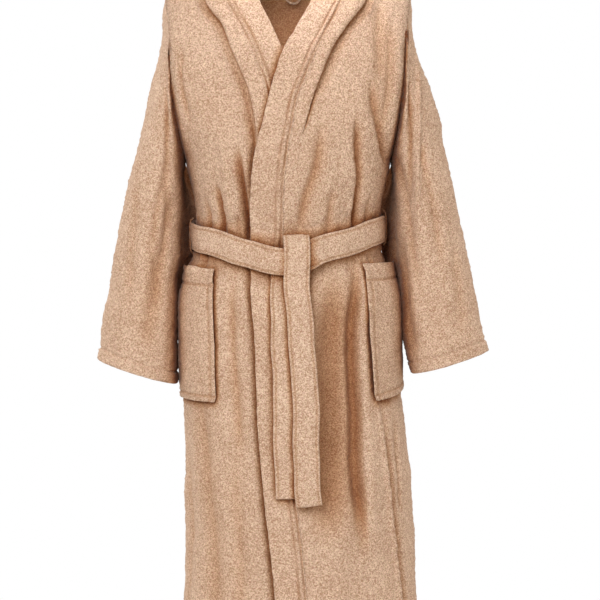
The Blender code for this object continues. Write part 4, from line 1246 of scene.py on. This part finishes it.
def pocketPatch(side, name, size):
    tall = size["top"] - size["bottom"]
    hem, edge, wide, fine = (pocketForm[key] for key in ("hem", "edge", "wide", "fine"))
    down = finer(pocketForm["rows"], (hem / tall, fine / tall), (1 - edge / tall, fine / tall))
    across = finer(pocketForm["columns"], (edge / wide, fine / wide))
    height = mix(size["top"], size["bottom"], down)
    start = angleOf(side * mix(*size["inner"], down), rowAt(height))
    rear = side * (sideSeam.read(height, "angle") - pocketForm["beforeSeam"])
    low = (down - (1 - pocketForm["cornerTall"])) / pocketForm["cornerTall"]
    corner = side * np.clip(low, 0, 1) ** 2 * pocketForm["corner"]
    start, rear = start + corner, rear - 2 * corner
    angle = start[:, None] + (rear - start)[:, None] * across[None]
    row = rowAt(height[:, None] + size["rise"] * down[:, None] * across[None] ** 1.5)
    place = bodyPoint(angle, row)
    swell = pocketForm["swell"] * np.sin(math.pi * across)[None] * (1 - down**2)[:, None]
    swell = swell + size["gape"] * ease(across / 0.8)[None] * (1 - down**2)[:, None]
    off = pocketForm["off"] + robe["cloth"] + swell + frontLift(side, place[..., 0], place[..., 2])
    ridge = np.max([-creaseDepth(angle + away, place[..., 2]) for away in (-3, 0, 3)], axis=0)
    off = off + np.maximum(ridge, 0) + 0.6 * lumps(place)
    grid = place + bodyNormal(angle, row) * off[..., None]
    normals = gridNormals(grid, side < 0)
    fromTop = place[..., 2].max() - place[..., 2]
    away = fromLine(grid, column=0), fromLine(grid, -1), fromLine(grid, column=-1)
    grid = grid + normals * (0.0014 * ease((edge - np.minimum(*away[:2])) / 0.003))[..., None]
    depth, width = pocketForm["hemGroove"]
    dip = depth * hump(fromTop - hem, width) - 0.001 * ease((hem - fromTop) / 0.004)
    below = ease((fromTop - hem) / 0.004)
    for distance, (depth, width) in zip(away, pocketForm["grooves"]):
        dip = dip + depth * below * hump(distance - edge, width)
    grid = grid - normals * dip[..., None]
    piece, outer, normals = clothWall(name, grid, robe["cloth"], side < 0, deep=pocketForm["grooveShade"] * dip)
    # The wall has three extra lines along each edge.
    line = int(np.argmin(abs(fromTop[:, 0] - hem))) + 3
    stitchAlong(outer[line, 2:-2], normals[line, 2:-2])
    column = int(np.argmin(abs(away[0][40] - edge))) + 3
    stitchAlong(outer[:, column], normals[:, column])
    return piece


print("pockets")
declare(pocketPatch(1, "pocketLeftPatch", pocketForm["left"]), "pocket_left")
declare(pocketPatch(-1, "pocketRightPatch", pocketForm["right"]), "pocket_right")


# belt

beltHumps = ((0.006, -0.108, -0.066, 0.068, 0.112), (0.007, -0.066, -0.037, 0.04, 0.068))
longTail = Table(
    "height middle off",
    (-0.4285, 0.0144, 0.0208),
    (-0.48, 0.0152, 0.02),
    (-0.509, 0.016, 0.0188),
    (-0.5775, 0.0205, 0.0176),
    (-0.627, 0.025, 0.017),
    (-0.672, 0.0274, 0.0167),
    (-0.789, 0.0293, 0.0165),
    (-0.829, 0.0328, 0.0162),
)
shortTail = Table(
    "height middle off",
    (-0.437, -0.008, 0.0093),
    (-0.51, -0.0065, 0.0094),
    (-0.665, -0.0024, 0.0094),
    (-0.818, 0.002, 0.0094),
)
tailTurn = (
    # off, height
    (0.0085, -0.438),
    (0.0083, -0.4275),
    (0.0096, -0.4195),
    (0.0146, -0.4155),
    (0.019, -0.4195),
)
strapColumns = np.array(
    [-0.5, -0.44, -0.385, -0.36, -0.33, -0.22, -0.11, 0, 0.11, 0.22, 0.33, 0.36, 0.385, 0.44, 0.5]
)
# the strap's stitched grooves get painted shade, by the last entry
strapForm = {"crown": 0.0011, "groove": 0.0007, "grooveAt": 0.385, "grooveWide": 0.03, "grooveShade": 0.011}


def strap(name, points, normals, size):
    along = unit(np.gradient(points, axis=0))
    across = unit(np.cross(along, normals))
    off = unit(np.cross(across, along))
    grid = points[:, None] + across[:, None] * (size["width"] * strapColumns)[None, :, None]
    groove = hump(abs(strapColumns) - strapForm["grooveAt"], strapForm["grooveWide"]) * size["stitched"]
    crown = strapForm["crown"] * (1 - (2 * strapColumns) ** 2) - strapForm["groove"] * groove
    rise = size["cloth"] / 2 + crown[None, :] + ripple(grid, 0.055, size["wave"])
    grid = grid + off[:, None] * rise[..., None]
    grid = grid + across[:, None] * ripple(points, 0.08, size["wave"] * 1.2)[:, None, None]
    flip = (np.cross(np.gradient(grid, axis=0), np.gradient(grid, axis=1)) * off[:, None]).sum() < 0
    deep = strapForm["grooveShade"] * groove
    piece, outer, normals = clothWall(name, grid, size["cloth"], flip, deep=deep, material=terryBelt)
    if size["stitched"]:
        for column in (5, -6):  # the groove's columns, counting the three extra ones along each edge
            stitchAlong(outer[:, column], normals[:, column])
    return piece


def beltWrap(name):
    # Once round, from under the long tail to where the ends cross.
    angle = np.linspace(4.6, 367.6, 230)
    row = rowAt(beltHeight(angle))
    place, normal = bodyPoint(angle, row), bodyNormal(angle, row)
    off = np.full_like(angle, beltSize["gap"] + beltSize["cloth"] / 2)
    isFront = np.cos(np.radians(angle)) >= 0
    for most, low, rise, fall, high in beltHumps:
        x = place[:, 0]
        off += isFront * most * ease((x - low) / (rise - low)) * ease((high - x) / (high - fall))
    return strap(name, place + normal * off[:, None], normal, beltSize)


def beltTail(name, table, turn=()):
    heights = np.linspace(table.keys[-1], table.keys[0], 16)
    stations = list(turn) + list(zip(table.read(heights, "off"), heights))
    off, height = np.array(stations).T
    row = rowAt(height)
    points = bodyPoint(angleOf(table.read(height, "middle"), row), row)
    points = np.stack([points[:, 0], points[:, 1] - off, points[:, 2]], -1)
    points = upsample(points, 7)
    normals = unit(np.cross(np.gradient(points, axis=0), (1, 0, 0)))
    return strap(name, points, normals, tailSize)


print("belt")
declare(beltWrap("beltWrapStrip"), "belt_wrap")
declare(beltTail("beltTailLongStrip", longTail, tailTurn), "belt_tail_long")
declare(beltTail("beltTailShortStrip", shortTail), "belt_tail_short")


# loops

# height beside the belt's middle, and how far out between the body and the belt's face
beltLoopLine = (
    (0.029, 0),
    (0.0265, 0.2),
    (0.0235, 0.75),
    (0.012, 1),
    (-0.012, 1),
    (-0.0235, 0.8),
    (-0.0265, 0.35),
    (-0.029, 0.3),
)
loopForm = {
    "angle": 89,
    "width": 0.004,
    "cloth": 0.0016,
    "wave": 0.0002,
    "stitched": False,
    "hanger": {"middle": 0.0075, "halfWidth": 0.013, "top": 0.016, "low": 0.068},
}


def beltLoop(side, name):
    middle = beltHeight(side * 90.0)
    near = 5 * robe["seamGap"] + loopForm["cloth"] / 2
    far = beltSize["gap"] + beltSize["cloth"] + robe["seamGap"] + loopForm["cloth"] / 2
    up, out = np.array(beltLoopLine).T
    row = rowAt(middle + up)
    normals = bodyNormal(side * loopForm["angle"], row)
    points = bodyPoint(side * loopForm["angle"], row) + normals * mix(near, far, out)[:, None]
    points, normals = upsample(points, 6), unit(upsample(normals, 6))
    return strap(name, points, normals, loopForm)


def hangingLoop(name):
    size = loopForm["hanger"]
    turn = np.linspace(0, math.pi, 50)
    x = size["middle"] - size["halfWidth"] * np.cos(turn)
    row = robe["napeRow"] + mix(size["top"], size["low"], np.sin(turn) ** 0.6)
    angle = 180 - angleOf(x, row)
    normals = bodyNormal(angle, row)
    off = -robe["cloth"] - 4 * robe["seamGap"] - loopForm["cloth"] / 2
    return strap(name, bodyPoint(angle, row) + normals * off, normals, loopForm)


print("loops")
declare(beltLoop(1, "beltLoopLeftStrip"), "belt_loop_left")
declare(beltLoop(-1, "beltLoopRightStrip"), "belt_loop_right")
declare(hangingLoop("hangingLoopStrip"), "hanging_loop")


# sewing

stitchSize = {"pitch": 0.0042, "length": 0.0031, "width": 0.0008, "height": 0.0006, "near": 0.001}


def readAlong(marks, run, values):
    return np.stack([np.interp(marks, run, values[:, k]) for k in range(3)], -1)


def stitches(name):
    # Every stitch is a small eight-sided bead that lies in its groove.
    centres, alongs, ups = [], [], []
    for points, normals in stitchRows:
        run, near = runAlong(points), stitchSize["near"]
        marks = np.arange(stitchSize["pitch"] / 2, run[-1], stitchSize["pitch"])
        centres.append(readAlong(marks, run, points))
        alongs.append(unit(readAlong(marks + near, run, points) - readAlong(marks - near, run, points)))
        ups.append(unit(readAlong(marks, run, normals)))
    centre, along, up = (np.concatenate(part) for part in (centres, alongs, ups))
    across = unit(np.cross(along, up))
    corners = []
    for way, size in ((along, "length"), (across, "width"), (up, "height")):
        reach = way * stitchSize[size] / 2
        corners += [centre - reach, centre + reach]
    points = np.stack(corners, 1).reshape(-1, 3)
    cell = [(0, 2, 5), (2, 1, 5), (1, 3, 5), (3, 0, 5), (2, 0, 4), (1, 2, 4), (3, 1, 4), (0, 3, 4)]
    faces = (np.arange(len(centre))[:, None, None] * 6 + np.array(cell)[None]).reshape(-1, 3)
    meshPiece(name, points, faces).data.materials.append(thread)


print("sewing")
stitches("topstitching")


# painted shade in hollows


def clothTree():
    # The cloth walls on a coarser grid, to find what stands close to each point.
    points, faces, count = [], [], 0
    for _, outer, inner, _, wrap, _, _ in shells:
        for side in (outer[::2], inner[::2]):
            points.append(side.reshape(-1, 3))
            faces.append(gridFaces(*side.shape[:2], wrap)[1] + count)
            count += len(points[-1])
    return BVHTree.FromPolygons(np.concatenate(points).tolist(), np.concatenate(faces).tolist())


def rayFan(count):
    # Directions over a half sphere, closer together near its pole.
    order, goldenTurn = np.arange(count) + 0.5, 2.39996
    radius, turn = np.sqrt(order / count), order * goldenTurn
    return np.stack([radius * np.cos(turn), radius * np.sin(turn), np.sqrt(1 - radius**2)], -1)


def hollowness(tree, points, normals):
    # From 0 on an open face to 1 deep in a fold: how much stands near, over the whole half sphere.
    rows, columns = points.shape[:2]
    flat, out = points.reshape(-1, 3), normals.reshape(-1, 3)
    # Two directions along the surface, turned by chance from point to point.
    first = unit(np.cross(out, (0.31, 0.17, 0.93)))
    second = np.cross(out, first)
    turn = dice.uniform(0, 6.28, len(flat))[:, None]
    cosine, sine = np.cos(turn), np.sin(turn)
    first, second = first * cosine + second * sine, second * cosine - first * sine
    fan = rayFan(paintedShadeLook["rays"])[None]
    ways = fan[..., :1] * first[:, None] + fan[..., 1:2] * second[:, None] + fan[..., 2:] * out[:, None]
    reach, cast = paintedShadeLook["reach"], tree.ray_cast
    found = np.empty(len(flat))
    starts = (flat + out * paintedShadeLook["start"]).tolist()
    for i, (start, rays) in enumerate(zip(starts, ways.tolist())):
        total = 0.0
        for ray in rays:
            distance = cast(start, ray, reach)[3]
            if distance is not None:
                total += 1 - distance / reach
        found[i] = total
    padded = np.pad((found / paintedShadeLook["rays"]).reshape(rows, columns), 1, mode="edge")
    nine = [padded[i : i + rows, j : j + columns] for i in range(3) for j in range(3)]
    return sum(nine) / 9


def paintShadeInHollows():
    # Paints shade into the colour: darker where other cloth stands close, in deep creases and on inner
    # sides.
    tree = clothTree()
    for piece, outer, inner, normals, _, deep, inside in shells:
        # deeper creases get more painted shade
        creaseShade = np.clip(deep, 0, paintedShadeLook["deepest"]) * paintedShadeLook["depth"]
        marks = []
        for side, out, base in ((outer, normals, creaseShade), (inner, -normals, inside)):
            # Every second row is looked at, and the ones between are read off.
            coarse = hollowness(tree, side[::2], out[::2])
            place = np.minimum(np.arange(len(outer)) / 2, len(coarse) - 1)
            low = np.floor(place).astype(int)
            high = np.minimum(low + 1, len(coarse) - 1)
            full = mix(coarse[low], coarse[high], (place - low)[:, None])
            steep = zip(paintedShadeLook["from"], paintedShadeLook["gain"])
            full = sum(np.maximum(full - least, 0) * gain for least, gain in steep)
            # the back half gets less painted shade
            full = full * mix(1, paintedShadeLook["behind"], ease(side[..., 1] / 0.05))
            marks.append(np.clip(base + full, 0, 1).reshape(-1))
        attribute = piece.data.attributes.new("hollow", "FLOAT", "POINT")
        attribute.data.foreach_set("value", np.concatenate(marks).astype(np.float32))


print("hollows")
paintShadeInHollows()


# studio

studio = {
    "cameraAt": (0.019, -3.2, -0.3),
    "cameraTo": (0.019, 0.0, -0.52),
    "lens": 120,
    "floor": -1.45,
    "floorRadius": 1.2,
    "floorSides": 96,
    "ambient": 0.43,
    "ambientColour": (1.0, 0.81, 0.61, 1),
    "paper": {"Base Color": (0.93, 0.93, 0.93, 1), "Roughness": 0.9},
    # place, what it points at, size, power, and spread in degrees
    "lights": {
        "keyLight": ((-0.9, -2.7, 1.1), (0, 0, -0.5), (1.5, 1.5), 60, 180),
        "neckLight": ((0.02, -0.62, 0.68), (0.02, 0.09, -0.09), (0.16, 0.16), 0.25, 22),
        "fillLight": ((1.9, -2.4, 0.1), (0, 0, -0.5), (1.6, 1.8), 14.5, 180),
        "rimLeft": ((-1.9, 1.1, 0.5), (0, 0, -0.5), (0.9, 1.8), 20, 180),
        "rimRight": ((1.9, 1.1, 0.5), (0, 0, -0.5), (0.9, 1.8), 18, 180),
    },
}


def aimed(name, data, place, target):
    piece = shown(name, data)
    piece.location = place
    way = Vector(target) - Vector(place)
    piece.rotation_euler = way.to_track_quat("-Z", "Y").to_euler()
    return piece


def addCamera():
    data = bpy.data.cameras.new("viewCamera")
    data.lens = studio["lens"]
    data.sensor_width = 36
    camera = aimed("viewCamera", data, studio["cameraAt"], studio["cameraTo"])
    bpy.context.scene.camera = camera


def addLight(name, place, target, size, power, spread):
    data = bpy.data.lights.new(name, "AREA")
    data.shape = "RECTANGLE"
    data.size, data.size_y = size
    data.energy = power
    data.spread = math.radians(spread)
    aimed(name, data, place, target)


def addFloor():
    mesh = bpy.data.meshes.new("paleFloor")
    turn = np.linspace(0, 2 * math.pi, studio["floorSides"], endpoint=False)
    rim = np.stack([np.cos(turn), np.sin(turn), 0 * turn], -1) * studio["floorRadius"]
    mesh.from_pydata((rim + (0, 0, studio["floor"])).tolist(), [], [list(range(len(rim)))])
    mesh.materials.append(newMaterial("palePaper", studio["paper"])[0])
    shown("paleFloor", mesh)


def addWorld():
    # White where the camera looks past the robe, and a softer warm light from all round.
    world = bpy.data.worlds.new("studioWorld")
    bpy.context.scene.world = world
    world.use_nodes = True
    tree = world.node_tree
    around = tree.nodes["Background"]
    around.inputs["Color"].default_value = studio["ambientColour"]
    around.inputs["Strength"].default_value = studio["ambient"]
    seen = addNode(tree, "ShaderNodeBackground", {"Color": (1, 1, 1, 1)}).outputs[0]
    toCamera = addNode(tree, "ShaderNodeLightPath").outputs["Is Camera Ray"]
    values = {"Fac": toCamera, 1: around.outputs[0], 2: seen}
    choose = addNode(tree, "ShaderNodeMixShader", values).outputs[0]
    tree.links.new(choose, tree.nodes["World Output"].inputs["Surface"])


print("studio")
addCamera()
addFloor()
for name, values in studio["lights"].items():
    addLight(name, *values)
addWorld()
bpy.context.scene.view_settings.view_transform = "Standard"
